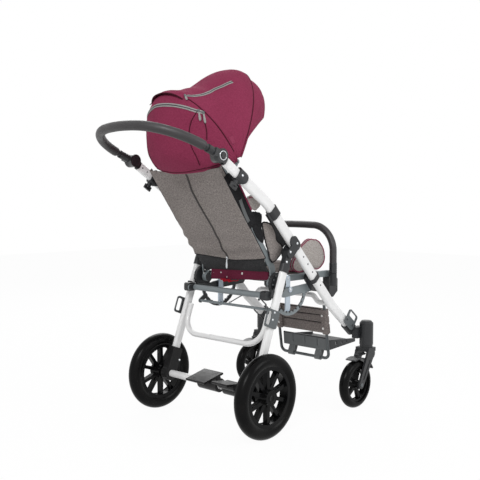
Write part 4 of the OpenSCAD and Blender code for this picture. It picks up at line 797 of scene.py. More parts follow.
hoodTrimValues = {
    "bow": [(62.3, s) for s in range(4, 177, 4)], "crown": [(hood.crownSeam, s) for s in range(8, 173, 4)],
    "backSeams": [(126, 131.5), (133, 130.3), (140, 127.3), (151, 125.6), (161, 126.4), (173, 128.3), (187, 126.2)],
    "endSeams": [(124.5, 135.5), (126.4, 135.9), (136.9, 142.2), (149.1, 143.5)],
    "upperZips": [(122.8, 112.9), (118.2, 115.8), (111.2, 116.4), (103.6, 117.2), (92.8, 114.9), (84.9, 117.6),
                  (77.6, 120.1)],
    "lowerZip": [(126, 136), (129, 131), (131.5, 122), (133.5, 108), (134.4, 95), (134.5, 82), (134.7, 70),
                 (134, 60), (131.5, 52), (127.5, 46)],
    "pulls": [(126.2, 136, 38), (128, 132, 36), (126.2, 44, 38), (128, 48, 36), (122.8, 112.9, 28),
              (122.8, 67.1, 28)],
    "pullSwell": [.6, .75, .8, .8, .9, 1.05, 1.1, 1.1, 1, .7], "sliderSwell": [.6, .95, 1, 1, .95, .6],
    "pull": (0.0075, 0.0022), "slider": (0.008, 0.0036), "tape": (0.0125, 0.0012), "teeth": (0.0036, 0.0016),
    "piping": 0.0023, "hem": (0.014, 0.0026), "hemIn": 2.6, "hemSeamIn": 8.5,
    "lipFrom": 114, "lipReach": 13, "lipHalf": 24, "lip": 9.0, "lipThick": 0.0022, "tabThick": 0.0012}


def makeHoodTrim(values):
    trim = SimpleNamespace(**values)
    piping = ring(trim.piping)
    for name, line, share, mirrored, count in (
            ("hoodBowSeam", trim.bow, 1, False, 160), ("hoodCrownSeam", trim.crown, 1, False, 160),
            ("hoodBackSeams", trim.backSeams, 0.8, True, 90), ("hoodEndSeams", trim.endSeams, 0.8, True, 50)):
        hoodStrip(name, line, piping * share, "darkPiping", mirrored=mirrored, count=count)
    # hem band folded over the rear edge, with its sewn line
    s = np.linspace(8, 172, 60)
    edge = hemAngle(s)
    hoodStrip("hoodHem", np.stack([edge - trim.hemIn, s], -1), band(*trim.hem), "burgundyTape", lift=0.3)
    hoodStrip("hoodHemSeam", np.stack([edge - trim.hemSeamIn, s], -1), piping * 0.7, "darkPiping", lift=0.2)
    # vent lip: the front panel's free edge stands off over the crown seam
    along, out = crossGrid(90 - trim.lipHalf, 90 + trim.lipHalf, 60, 0, 1, 16)
    fade = np.clip(1 - ((along - 90) / trim.lipHalf) ** 4, 0, 1)
    place, up = onHood(trim.lipFrom + trim.lipReach * out, along, 0.8)
    lip = facingTo(place + up * (trim.lip * fade * out**1.4)[..., None] / 1000, up)
    piece = link(thickSheet("hoodVentLip", lip, trim.lipThick), "burgundyCloth")
    foldWithHood(piece)
    foldWithHood(link(carry("hoodLipPiping", lip[:, -1], piping, (0, 0, 1)), "darkPiping"))
    # zips: grey tape, a dark row of teeth and pullers that hang from the sliders
    for name, line, mirrored in (("lowerZip", trim.lowerZip, False), ("upperZips", trim.upperZips, True)):
        hoodStrip(name + "Tape", line, band(*trim.tape), "zipTape", 0.9, mirrored, 140)
        hoodStrip(name + "Teeth", line, band(*trim.teeth), "blackPlastic", 1.5, mirrored, 140)
    pulls, sliders = [], []
    for angle, along, length in trim.pulls:
        place, up = onHood(np.array([angle]), np.array([along]), 2.4)
        down = unit(np.array([-0.12, np.sign(90 - along) * 0.35, -1.0]))
        down = unit(down - (down * up).sum(-1, keepdims=True) * up)
        path = place + down * np.linspace(0, length / 1000, 10)[:, None]
        pulls.append(carried(path, band(*trim.pull), up, swell=trim.pullSwell))
        path = place + down * np.linspace(-0.006, 0.005, 6)[:, None]
        sliders.append(carried(path, band(*trim.slider), up, swell=trim.sliderSwell))
    foldWithHood(link(merged("hoodZipPulls", pulls), "zipTape"))
    foldWithHood(link(merged("hoodZipSliders", sliders), "darkBracket"))
    # sewn tab near the pivot on each side
    tabs = []
    angle, along = crossGrid(104, 118, 12, 161, 167, 10)
    for side in (1, -1):
        place, up = onHood(angle, along if side > 0 else 180 - along, 1.6)
        tabs.append(sheetParts(facingTo(place, up), trim.tabThick))
    foldWithHood(link(merged("hoodTabs", tabs), "burgundyTape"))


makeHoodTrim(hoodTrimValues)
print("stage: hood made")


# pads: two grids on one outline, crowned on both faces, with sides drawn in between the corners
def padGrids(size, roundness, drawIn, low, high, edgeLow, edgeHigh, steps=40):
    a, b = crossGrid(-1, 1, steps, -1, 1, steps)
    x = size[0] / 2 * a * np.sqrt(1 - roundness * b * b / 2) * (1 - drawIn * (1 - b * b) * a * a)
    y = size[1] / 2 * b * np.sqrt(1 - roundness * a * a / 2) * (1 - drawIn * (1 - a * a) * b * b)
    crown = (1 - a**4) * (1 - b**4)
    return (np.stack([x, y, edgeHigh + (high - edgeHigh) * crown], -1),
            np.stack([x, y, edgeLow + (low - edgeLow) * crown], -1))


# closed mesh from an upper and a lower grid with the same outline, set in its place
def padMesh(name, upper, lower, place):
    rows, columns = upper.shape[:2]
    top = np.arange(rows * columns).reshape(rows, columns)
    low = top + rows * columns
    edge = np.concatenate([top[:-1, 0], top[-1, :-1], top[:0:-1, -1], top[0, :0:-1]])
    rim = np.stack([np.append(edge, edge[0]), np.append(edge, edge[0]) + rows * columns])
    faces = np.concatenate([quadsOf(top), quadsOf(low)[:, ::-1], quadsOf(rim)])
    return meshFrom(name, place(np.concatenate([upper.reshape(-1, 3), lower.reshape(-1, 3)])), faces)


# closed mesh on a given outline: rings shrink to the middle, crowned as one minus the fourth power
def outlineMesh(name, outline, low, high, edgeLow, edgeHigh, rings=22, count=96):
    edge = smoothPath(np.vstack([outline[-1:], outline, outline[:2]]), 3 * count)
    want = np.linspace(-np.pi, np.pi, count, endpoint=False)
    reach = np.interp(want, *sortedLoop(*edge.T), period=2 * np.pi)
    share = np.linspace(1, 0.04, rings)[:, None]
    flat = np.stack([share * reach * np.cos(want), share * reach * np.sin(want)], -1)
    crown = 1 - np.broadcast_to(share, flat.shape[:2]) ** 4
    upper = np.dstack([flat, edgeHigh + (high - edgeHigh) * crown])
    lower = np.dstack([flat, edgeLow + (low - edgeLow) * crown])
    index = np.arange(rings * count).reshape(rings, count)
    index = np.hstack([index, index[:, :1]])
    below = index + rings * count
    faces = [list(f) for f in np.concatenate([quadsOf(index)[:, ::-1], quadsOf(below),
                                              quadsOf(np.stack([index[0], below[0]]))])]
    faces += [index[-1, :-1].tolist(), below[-1, :-1][::-1].tolist()]
    return meshFrom(name, np.concatenate([upper.reshape(-1, 3), lower.reshape(-1, 3)]) / 1000, faces)


# direction and distance of a loop's points, in the order of their directions
def sortedLoop(x, y):
    turn = (np.arctan2(y, x) + np.pi) % (2 * np.pi) - np.pi
    order = np.argsort(turn)
    return turn[order], np.hypot(x, y)[order]


backLean = math.radians(36)
backPivotX, backPivotZ = 152, 508


# points of the backrest: distance ahead of its bars, across, and up along its lean
def onBack(ahead, across, up):
    ahead, across, up = np.broadcast_arrays(ahead, across, up)
    return spot(backPivotX + ahead * math.cos(backLean) - up * math.sin(backLean), across,
                backPivotZ + ahead * math.sin(backLean) + up * math.cos(backLean))


# an outline in distance ahead and height up the back: drawn about its middle, and its place on one side
def besideBack(outline, side, away):
    outline = np.array(outline, float)
    centre = (outline.min(0) + outline.max(0)) / 2
    return outline - centre, lambda p: onBack(centre[0] + p[:, 0], side * (away + p[:, 2]), centre[1] + p[:, 1])


# the outline of a finished pad at one height: the furthest point in each direction, smoothed round the loop
rimWeights = [0.06, 0.24, 0.4, 0.24, 0.06]


def rimPath(local, level, reach=3.0, count=180):
    x, y = local[np.abs(local[:, 2] - level) < reach, :2].T
    slot = ((np.arctan2(y, x) + np.pi) / (2 * np.pi) * count).astype(int) % count
    far = np.zeros(count)
    np.maximum.at(far, slot, np.hypot(x, y))
    empty = far == 0
    far[empty] = np.interp(np.flatnonzero(empty), np.flatnonzero(~empty), far[~empty], period=count)
    far = sum(w * np.roll(far, k - 2) for k, w in enumerate(rimWeights))
    angle = (np.arange(count) + 0.5) / count * 2 * np.pi - np.pi
    return np.stack([far * np.cos(angle), far * np.sin(angle), np.full(count, level)], -1)


# a sewn pad in its own axes: blown up, flattened where it rests, sewn, then moved to its place
def makePad(place, body, node, name, finish, low, high, edgeLow, edgeHigh, fill, cap=0, voxel=0.005, outline=None,
            size=None, roundness=0.2, drawIn=0.05, rest=None, lines=(), rims=(), piping=0, pipingFinish=None,
            mirrored=False):
    if outline is None:
        upper, lower = padGrids(size, roundness, drawIn, low, high, edgeLow, edgeHigh)
        mesh = padMesh(name, upper / 1000, lower / 1000, lambda points: points)
    else:
        mesh = outlineMesh(name, outline, low, high, edgeLow, edgeHigh)
    piece = link(mesh, finish)
    if cap:
        puffUp(piece, voxel, cap)
    local = cornersOf(piece.data) * 1000
    if rest is not None:
        local[:, 2] = np.maximum(local[:, 2], rest)
    top = np.clip((local[:, 2] - edgeHigh) / 6, 0, 1)
    for axis, at, depth, width in lines:
        local[:, 2] += top * groove(local[:, axis] - at, depth, width)
    setCorners(piece.data, place(local))
    while piece.data.uv_layers:
        piece.data.uv_layers.remove(piece.data.uv_layers[0])
    if mirrored:
        piece.data.flip_normals()
    clothMap(piece.data)
    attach(piece, body)
    if node:
        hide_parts(node)
    upright = unit(place(np.array([[0, 0, 1.0]])) - place(np.array([[0, 0, 0.0]])))
    trims = [carried(place(rimPath(local, level)), ring(piping), upright, True) for level in rims]
    if trims:
        link(merged(name + "Piping", trims), pipingFinish, body)


seatCushionValues = {
    "name": "seatCushion", "size": (270, 282), "low": 517, "high": 562, "edgeLow": 519, "edgeHigh": 538,
    "rest": 516.2, "cap": 0.007, "fill": 0.7, "finish": "greyCloth",
    "lines": [(1, -72, 5, 5), (1, 72, 5, 5), (0, -40, 3.5, 5)], "rims": [538], "piping": 0.0024,
    "pipingFinish": "burgundyTape"}
seatMiddle = 321
makePad(lambda p: spot(seatMiddle + p[:, 0], p[:, 1], p[:, 2]), "seat", "seat_cushion", **seatCushionValues)

backCushionValues = {
    "name": "backCushion", "size": (370, 282), "low": 37.5, "high": 77, "edgeLow": 39, "edgeHigh": 53,
    "rest": 36.5, "cap": 0.007, "fill": 0.6, "finish": "greyCloth",
    "lines": [(1, -70, 5, 5), (1, 70, 5, 5), (0, -60, 4, 5), (0, 70, 4, 5)], "rims": [53], "piping": 0.0024,
    "pipingFinish": "burgundyTape"}
backMiddle = 268
makePad(lambda p: onBack(p[:, 2], -p[:, 1], backMiddle + p[:, 0]), "backrest", "back_cushion", **backCushionValues)

sidePadValues = {
    "outline": np.array([(-6, 61), (52, 49), (80, 17), (86, -30), (58, -56), (-18, -61), (-86, -61), (-109, -43),
                         (-88, 4), (-55, 40)], float),
    "low": -10, "high": 10, "edgeLow": -5, "edgeHigh": 5, "cap": 0.005, "fill": 0.7, "finish": "paleCloth",
    "rims": [-6, 6], "piping": 0.002, "pipingFinish": "burgundyTape", "voxel": 0.004}
padX, padY, padZ = 377, 162, 600.3
for side, hand in hands:
    makePad(lambda p: spot(padX + p[:, 0], side * (padY + p[:, 2]), padZ + p[:, 1]), "seat", "side_pads",
            name="sidePad" + hand, mirrored=side > 0, **sidePadValues)

# side wings ahead of the bars: outlines in distance ahead and height up the back
wingValues = {
    "low": 0.2, "high": 9, "edgeLow": 0.5, "edgeHigh": 4, "rest": 0, "cap": 0.004, "fill": 0.5,
    "piping": 0.0026, "pipingFinish": "blackCloth", "voxel": 0.004}
wingAway = 178.2
wingShapes = [
    ("lowerWing", "greyCloth", [4], [(75, 219), (58, 190), (37, 124), (35, 68), (60, 62), (110, 78), (102, 120),
                                     (110, 146), (107, 190)]),
    ("upperWing", "paleCloth", [], [(65, 336), (86, 330), (113, 306), (101, 271), (65, 274)])]
for label, finish, rims, shape in wingShapes:
    for side, hand in hands:
        outline, place = besideBack(shape, side, wingAway)
        makePad(place, "backrest", "back_wings", name=label + hand, finish=finish, rims=rims, outline=outline,
                mirrored=side > 0, **wingValues)
print("stage: pads made")


# rear panel: cloth over the back frame, pushed out by the rider's back, with a sewn line and folds
panelValues = {"height": 352, "width": 328, "low": 94, "rear": 30, "bulge": 13, "front": 36, "roundness": 0.1,
               "steps": 90, "fold": 1.6, "fill": 0.3}


def makeBackPanel(height, width, low, rear, bulge, front, roundness, steps, fold, fill):
    a, b = crossGrid(-1, 1, steps, -1, 1, steps)
    up = height / 2 * a * np.sqrt(1 - roundness * b * b / 2)
    across = width / 2 * b * np.sqrt(1 - roundness * a * a / 2)
    crown = (1 - np.abs(a) ** 4) * (1 - np.abs(b) ** 4)
    # slack cloth: long folds that run down from the upper corners and across near the seat
    lower = np.clip(-a, 0, 1) ** 1.5
    folds = fold * crown * (np.sin(5 * b + 3 * a + 0.6) * 0.6 + lower * np.sin(16 * a + 2.2 * b) * 1.2)
    folds += 0.5 * crown * np.sin(11 * b - 6 * a)
    depth = rear - bulge * crown - folds + crown * groove(across, 2.2, 4)
    depth = np.where((np.abs(a) == 1) | (np.abs(b) == 1), rear, depth)
    behind = np.stack([up, across, depth], -1)
    ahead = np.stack([up, across, np.full_like(depth, front)], -1)
    mesh = padMesh("backPanel", behind, ahead, lambda p: onBack(p[:, 2], p[:, 1], low + height / 2 + p[:, 0]))
    piece = link(mesh, "greyCloth", "backrest")
    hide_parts("back_panel")


makeBackPanel(**panelValues)


# cover behind the bars: a crowned back, a quarter turn about each bar and a side hem
coverValues = {"low": 96, "lowSide": 106, "high": 472, "sideHigh": 18, "half": 176.4, "rear": 7, "topRear": 20,
               "side": 12.4, "turn": 4.0, "hem": 11, "hemFrom": 232, "thick": 0.0016, "fold": 3.2, "wave": 5.2,
               "backShare": 0.86, "hemShare": 0.93, "turnShare": 0.07, "topFrom": 395, "topSpan": 75,
               "slackFrom": 250, "slackSpan": 130, "waveAt": 165, "waveSpan": 60, "columns": 150, "rows": 110,
               "tape": (0.010, 0.0011), "teeth": (0.0024, 0.0013), "pull": (0.0085, 0.002),
               "slider": (0.009, 0.004), "edging": 0.0016,
               "pullSwell": [.5, .7, .7, .7, .75, .9, 1, 1.05, 1.05, 1, .9, .6],
               "sliderSwell": [.6, .95, 1, 1, .9, .6]}
cover = SimpleNamespace(**coverValues)


def coverSpots(across, rise):
    size = np.abs(across)
    back = np.clip(size / cover.backShare, 0, 1)
    turn = np.clip((size - cover.backShare) / cover.turnShare, 0, 1) * np.pi / 2
    hem = np.clip((size - cover.hemShare) / cover.turnShare, 0, 1)
    low = cover.low + (cover.lowSide - cover.low) * back**2
    up = low + (cover.high + cover.sideHigh * back**2 - low) * rise
    top = np.clip((up - cover.topFrom) / cover.topSpan, 0, 1)
    rear = cover.rear + (cover.topRear - cover.rear) * top * top * (3 - 2 * top)
    crown = 1 - back**4
    # slack cloth: slow folds from the upper corners and closer ones above the seat
    slack = np.clip((cover.slackFrom - up) / cover.slackSpan, 0, 1)
    folds = cover.fold * crown * (0.6 * np.sin(5 * across + up / 60 + 0.6)
                                  + slack * np.sin(up / 10.5 + 2.2 * across) + 0.35 * np.sin(11 * across - up / 30))
    ahead = (cover.side + (rear - cover.side) * crown - folds + cover.turn * (1 - np.cos(turn))
             + cover.hem * hem * (0.08 + 0.92 * np.clip((up - cover.hemFrom) / 20, 0, 1)))
    wave = (cover.wave * np.exp(-((up - cover.waveAt) / cover.waveSpan) ** 2) * (0.5 + 0.5 * np.sin(up / 7.5))
            * np.clip((size - 0.6) / 0.3, 0, 1))
    side = cover.half * back + cover.turn * np.sin(turn) + wave
    return onBack(ahead - 0.8 * wave, np.sign(across) * side, up)


def makeRearCover():
    behind = -np.array([math.cos(backLean), 0, math.sin(backLean)])
    grid = facingTo(coverSpots(*crossGrid(-1, 1, cover.columns, 0, 1, cover.rows)), behind)
    piece = link(thickSheet("rearCover", grid, cover.thick), "greyCloth", "backrest")
    # middle zip with its slider and puller, edging round the hem
    rise = np.linspace(0.012, 0.985, 90)
    middle = coverSpots(0 * rise, rise) + behind * 0.0007
    link(carry("coverZipTape", middle, band(*cover.tape), behind), "seamCloth", "backrest")
    link(carry("coverZipTeeth", middle + behind * 0.0006, band(*cover.teeth), behind), "blackPlastic", "backrest")
    foot = middle[0] + behind * 0.002
    hang = foot + np.array([-0.004, 0, 0]) + np.linspace(0, 1, 12)[:, None] * np.array([0.001, 0.001, -0.037])
    slide = foot + np.linspace(-0.004, 0.009, 6)[:, None] * np.array([-0.588, 0, 0.809])
    parts = [carried(hang, band(*cover.pull), (-1, 0, 0), swell=cover.pullSwell),
             carried(slide, band(*cover.slider), behind, swell=cover.sliderSwell)]
    link(merged("coverZipPuller", parts), "silverMetal", "backrest")
    loop = np.concatenate([grid[0, ::-1], grid[1:, 0], grid[-1, 1:]])
    edging = carry("coverEdging", loop[::2], ring(cover.edging), (0.3, 0.2, 0.9))
    link(edging, "blackCloth", "backrest")


makeRearCover()


# dark flap from the cover's foot to the seat: a straight run with a shallow sag
flapValues = {"half": 162, "topHalf": 175, "top": (14.0, 110.0), "foot": (148.6, 541), "slant": 3.5, "sag": 6,
              "sagWay": (-0.0007, 0, -0.0006), "thick": 0.0014, "columns": 60, "rows": 24}


def makeFlap(half, topHalf, top, foot, slant, sag, sagWay, thick, columns, rows):
    across, run = crossGrid(-1, 1, columns, 0, 1, rows)
    start = onBack(top[0], topHalf * across, top[1])
    stop = spot(foot[0], half * across, foot[1] - slant * across)
    hang = sag * np.sin(np.pi * run) * (1 + 0.18 * np.sin(9 * across))
    grid = start + (stop - start) * run[..., None] + hang[..., None] * np.array(sagWay)
    grid = facingTo(grid, np.array(sagWay))
    piece = link(thickSheet("rearFlap", grid, thick), "slateCloth")
    spot(108, 0, 594)
    spot(150, 0, 536)
    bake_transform(piece)


makeFlap(**flapValues)


# sides of the back: dark trim over the bar, a grey strip, burgundy lines, a dark gusset and a dark pad painted as
# shade beside the lower wing
trimValues = {"low": 236, "high": 452, "rear": 13.5, "front": 56, "away": 181.4, "thick": 0.0012,
              "highCut": (9, 420, 32), "lowCut": (6, 270, 34),
              "strip": [(21, 262), (22, 290), (26, 322), (31, 348)], "stripWidth": 0.0145, "stripAway": 183.2,
              "line": [(56.5, 286), (58, 330), (59.5, 372), (61, 414)],
              "wingLine": [(66, 329), (76, 325.5), (88, 319)], "wingLineAway": 186.4}
gussetValues = {"low": 0.2, "high": 3.4, "edgeLow": 0.4, "edgeHigh": 1.6, "rest": 0, "fill": 0.2}
gussetAway = 178.0
gussetShapes = [
    ("sideGusset", "blackCloth", [(50, 279), (92, 243), (68, 209), (36, 157), (27, 180), (30, 240)]),
    # a dark pad behind the lower wing, reaching past its far edge: cloth there, painted dark as its shade
    ("wingShadePanel", "slateCloth", [(104, 191), (113, 191), (136, 143), (144, 82), (112, 75), (92, 90), (90, 150)])]


def makeSideTrim(low, high, rear, front, away, thick, highCut, lowCut, strip, stripWidth, stripAway, line, wingLine,
                 wingLineAway):
    strips, lines = [], []
    share, up = crossGrid(0, 1, 14, low, high, 60)
    hem = (front - highCut[0] * np.clip((up - highCut[1]) / highCut[2], 0, 1) ** 2
           - lowCut[0] * np.clip((lowCut[1] - up) / lowCut[2], 0, 1) ** 2)
    bulge = wingLineAway - 5 * np.linspace(1, -1, 24) ** 4
    out = away + 0.5 * np.sin(up / 11) * share * (1 - share) * 4
    for side, hand in hands:
        grid = facingTo(onBack(rear + (hem - rear) * share, side * out, up), np.array([0, side, 0]))
        piece = link(thickSheet("barTrim" + hand, grid, thick), "blackCloth", "backrest")
        for found, points, count, gap, profile in (
                (strips, strip, 30, stripAway, band(stripWidth, 0.002)), (lines, line, 40, away, ring(0.003)),
                (lines, wingLine, 24, bulge, ring(0.002))):
            ahead, rise = smoothPath(points, count).T
            found.append(carried(onBack(ahead, side * gap, rise), profile, (0, side, 0)))
        for label, finish, shape in gussetShapes:
            outline, place = besideBack(shape, side, gussetAway)
            makePad(place, "backrest", None, name=label + hand, finish=finish, outline=outline, mirrored=side > 0,
                    **gussetValues)
    link(merged("sideStrips", strips), "greyPlastic", "backrest")
    link(merged("sideLines", lines), "burgundyTape", "backrest")


makeSideTrim(**trimValues)


# seat sling under the cushion and the strip that closes it at the rear
slingValues = {"rear": 179.5, "front": 462.5, "half": 157.4, "top": 515.8, "sag": 17, "edge": 4, "fill": 0.2,
               "steps": 50}
stripValues = {"half": 157.4, "rear": 146, "far": 136, "low": 510, "high": 545, "slant": 8, "thick": 0.0030,
               "snaps": [(-28, 534), (-141, 541), (83, 531), (50, 515), (122, 527)], "snap": (0.005, 0.0026),
               "loops": [(143, 74, 507), (134, 66, 504), (129, 55, 510), (126, 42, 501), (129, 30, 509),
                         (126, 16, 501), (128, 4, 507), (134, -4, 505), (143, -9, 508)], "loopWidth": 0.016}


# the sling: flat above, sagging below as the product of two fourth powers
def makeSling(rear, front, half, top, sag, edge, fill, steps):
    a, b = crossGrid(-1, 1, steps, -1, 1, steps)
    x = (rear + front) / 2 + (front - rear) / 2 * a
    crown = (1 - a**4) * (1 - b**4)
    low = top - edge - (sag - edge) * crown - crown * 0.9 * np.sin(9 * a) * np.cos(4 * b)
    mesh = padMesh("seatSling", np.stack([x, half * b, np.full_like(x, top)], -1), np.stack([x, half * b, low], -1),
                   lambda p: spot(*p.T))
    piece = link(mesh, "blackCloth", "seat")
    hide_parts("seat_sling")


# the strip hangs from the frame in shallow waves, with snaps and a looped tape
def makeStrip(half, rear, far, low, high, slant, thick, snaps, snap, loops, loopWidth):
    across, rise = crossGrid(-half, far, 120, 0, 1, 20)
    tilt = slant * across / 140
    height = low - tilt + (high - low + tilt / 2) * rise
    grid = spot(rear + 0.8 + 1.1 * np.sin(across / 9 + 1.4 * rise) * np.sin(across / 31), across, height)
    # the strip's cloth is a darker burgundy: painted shade under the seat
    piece = link(thickSheet("rearStrip", grid, thick), "shadedBurgundy", "seat")
    headsOn("stripSnaps", "seat", "whiteSnap", [(spot(145.6, y, z), (-1, 0, 0), *snap) for y, z in snaps])
    path = smoothPath(spot(*np.array(loops).T), 90)
    link(carry("pullLoops", path, band(loopWidth, 0.0016), (0, 0.1, 1)), "redTape", "seat")


makeSling(**slingValues)
makeStrip(**stripValues)
print("stage: seat cloth made")


# foam on the push handle: a round carried along two corner arcs and a shallow bow
handleValues = {"pivotX": -166, "pivotZ": 948, "tilt": 22.4, "corner": 180, "cornerX": 60.05, "cornerY": 46.0,
                "bowX": -206, "bow": 450, "bowTurn": 9.81, "startTurn": 85.4, "foam": 0.016, "fill": 0.9}


def makeGrip(pivotX, pivotZ, tilt, corner, cornerX, cornerY, bowX, bow, bowTurn, startTurn, foam, fill):
    turn = np.radians(np.linspace(startTurn, bowTurn, 60))
    bend = np.stack([cornerX + corner * np.cos(turn), cornerY + corner * np.sin(turn)], -1)
    turn = np.radians(np.linspace(bowTurn, -bowTurn, 40))[1:-1]
    middle = np.stack([bowX + bow * np.cos(turn), bow * np.sin(turn)], -1)
    back, across = np.concatenate([bend, middle, bend[::-1] * np.array([1, -1])]).T
    tilt = math.radians(tilt)
    path = spot(pivotX - back * math.cos(tilt), across, pivotZ + back * math.sin(tilt))
    share = np.linspace(0, 1, len(path))
    end = np.minimum(share, 1 - share) * len(path)
    swell = 1 - 0.09 * np.exp(-end / 0.5) + 0.004 * np.sin(share * 60)
    mesh = carry("handleFoam", path, ring(foam, 28), (math.sin(tilt), 0, math.cos(tilt)), swell)
    piece = link(mesh, "gripFoam", "push_handle")
    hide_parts("handle_grip")


makeGrip(**handleValues)


# bumper bar: foam on a bent tube, ribbed sleeves and bare ends
bumperValues = {"x": 485, "y": 193, "low": 522.4, "top": 708, "bend": 100, "foam": 0.014, "tube": 0.009,
                "end": 480.4, "fill": 0.9, "sleeve": 0.0146, "rib": 0.0008, "sleeveFoot": 0.0125,
                "sleeveTop": 0.0139, "sleeveLength": 40}


def makeBumper(x, y, low, top, bend, foam, tube, end, fill, sleeve, rib, sleeveFoot, sleeveTop, sleeveLength):
    turn = np.radians(np.linspace(180, 90, 24))
    arc = np.stack([bend - y + bend * np.cos(turn), top - bend + bend * np.sin(turn)], -1)
    left = np.stack([np.full(12, -y), np.linspace(low, arc[0, 1], 13)[:-1]], -1)
    half = np.concatenate([left, arc])
    line = np.concatenate([half, half[::-1] * np.array([-1, 1])])
    path = smoothPath(spot(x, line[:, 0], line[:, 1]), 150)
    piece = link(carry("bumperFoam", path, ring(foam, 26), (1, 0, 0)), "gripFoam", "bumper")
    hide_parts("bumper_bar")
    ribs = np.arange(0, sleeveLength, 1.0)
    width = sleeve + rib * np.where(ribs % 8 < 5, 1, 0)
    profile = [(sleeveFoot, 0.0)] + [(w, r / 1000 + 0.001) for w, r in zip(width, ribs)] + [(sleeveTop, 0.042)]
    ends, sleeves = [], []
    for side in (-1, 1):
        ends.append(turned(spot(x, side * y, end), (0, 0, 1), [(0.007, 0), (tube, 0.003), (tube, 0.043)], 24))
        sleeves.append(turned(spot(x, side * y, low + 0.3), (0, 0, 1), profile, 28))
    link(merged("bumperEnds", ends), "silverMetal", "bumper")
    link(merged("bumperSleeves", sleeves), "blackPlastic", "bumper")


makeBumper(**bumperValues)


# calf pad: three sewn bands between two sleeves that wrap the legrest's tubes
calfValues = {"width": 262, "height": 102, "at": 155, "rear": 6.4, "thick": 25, "edge": 11, "seams": (-0.45, 0.16),
              "seamWidth": 0.05, "sink": 5, "rearSink": 4.6, "steps": 72, "fill": 0.6,
              "sleeveY": 121, "sleeve": (0.0155, 0.0104), "sleeveFill": 0.3,
              "snaps": [(117, -27), (117, 26)], "snap": (0.005, 0.0022)}
legSwing = math.radians(9)
legPivotX, legPivotZ = 505, 470


# points of the legrest: distance ahead of its tubes, across, and down along its swing
def onLegrest(ahead, across, down):
    ahead, across, down = np.broadcast_arrays(ahead, across, down)
    return spot(legPivotX + down * math.sin(legSwing) + ahead * math.cos(legSwing), across,
                legPivotZ - down * math.cos(legSwing) + ahead * math.sin(legSwing))


def makeCalfPad(width, height, at, rear, thick, edge, seams, seamWidth, sink, rearSink, steps, fill, sleeveY,
                sleeve, sleeveFill, snaps, snap):
    a, b = crossGrid(-1, 1, steps, -1, 1, steps)
    seam = sum(np.exp(-((a - line) / seamWidth) ** 2) for line in seams)
    fall = 1 - np.abs(a) ** 6
    ahead = rear + edge + (thick - edge) * fall * (1 - b**4)
    ahead = ahead - sink * seam * fall + 0.5 * np.sin(13 * b + 4 * a) * fall * (1 - b**2)
    behind = rear + rearSink * seam * fall * (1 - b**8)
    down = at + height / 2 * a
    across = width / 2 * b
    mesh = padMesh("calfPad", np.stack([ahead, across, down], -1), np.stack([behind, across, down], -1),
                   lambda p: onLegrest(*p.T))
    piece = link(mesh, "calfCloth", "legrest")
    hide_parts("calf_pad")
    # sleeves round the tubes, closed by snaps
    run = np.linspace(-1, 1, 26)
    wide, deep = sleeve
    lift = onLegrest(1.0, 0.0, 0.0) - onLegrest(0.0, 0.0, 0.0)
    tubes, fasteners = [], []
    for side in (-1, 1):
        path = onLegrest(0.0, side * sleeveY, at + height / 2 * run)
        tubes.append(carried(path, ring(1.0, 24) * np.array([wide, deep]), lift,
                             swell=1 - 0.1 * np.abs(run) ** 12 + 0.02 * np.sin(9 * run)))
        fasteners += [(onLegrest(-deep * 1000, side * y, at + low), -lift, *snap) for y, low in snaps]
    sleeves = link(merged("calfSleeves", tubes), "calfCloth", "legrest")
    headsOn("calfSnaps", "legrest", "whiteSnap", fasteners)
    # edging along the top and lines in the seams
    wide = width / 2 * np.linspace(-0.8, 0.8, 40)
    path = onLegrest(rear - 0.4, wide, at - height / 2 + 2)
    link(carry("calfEdging", path, ring(0.0018), lift), "blackCloth", "legrest")
    sewn = [carried(onLegrest(rear + 3.4, wide, at + height / 2 * line), ring(0.0016), lift) for line in seams]
    link(merged("calfSeams", sewn), "blackCloth", "legrest")


makeCalfPad(**calfValues)
print("stage: foam and calf pad made")


# fasteners: heads of one size at places ahead and up, in millimetres, mirrored to both sides
def heads(across, radius, height, *places):
    return [(x, z, across, radius, height) for x, z in places]


notchTurns = np.radians(205 + 13 * np.arange(11))
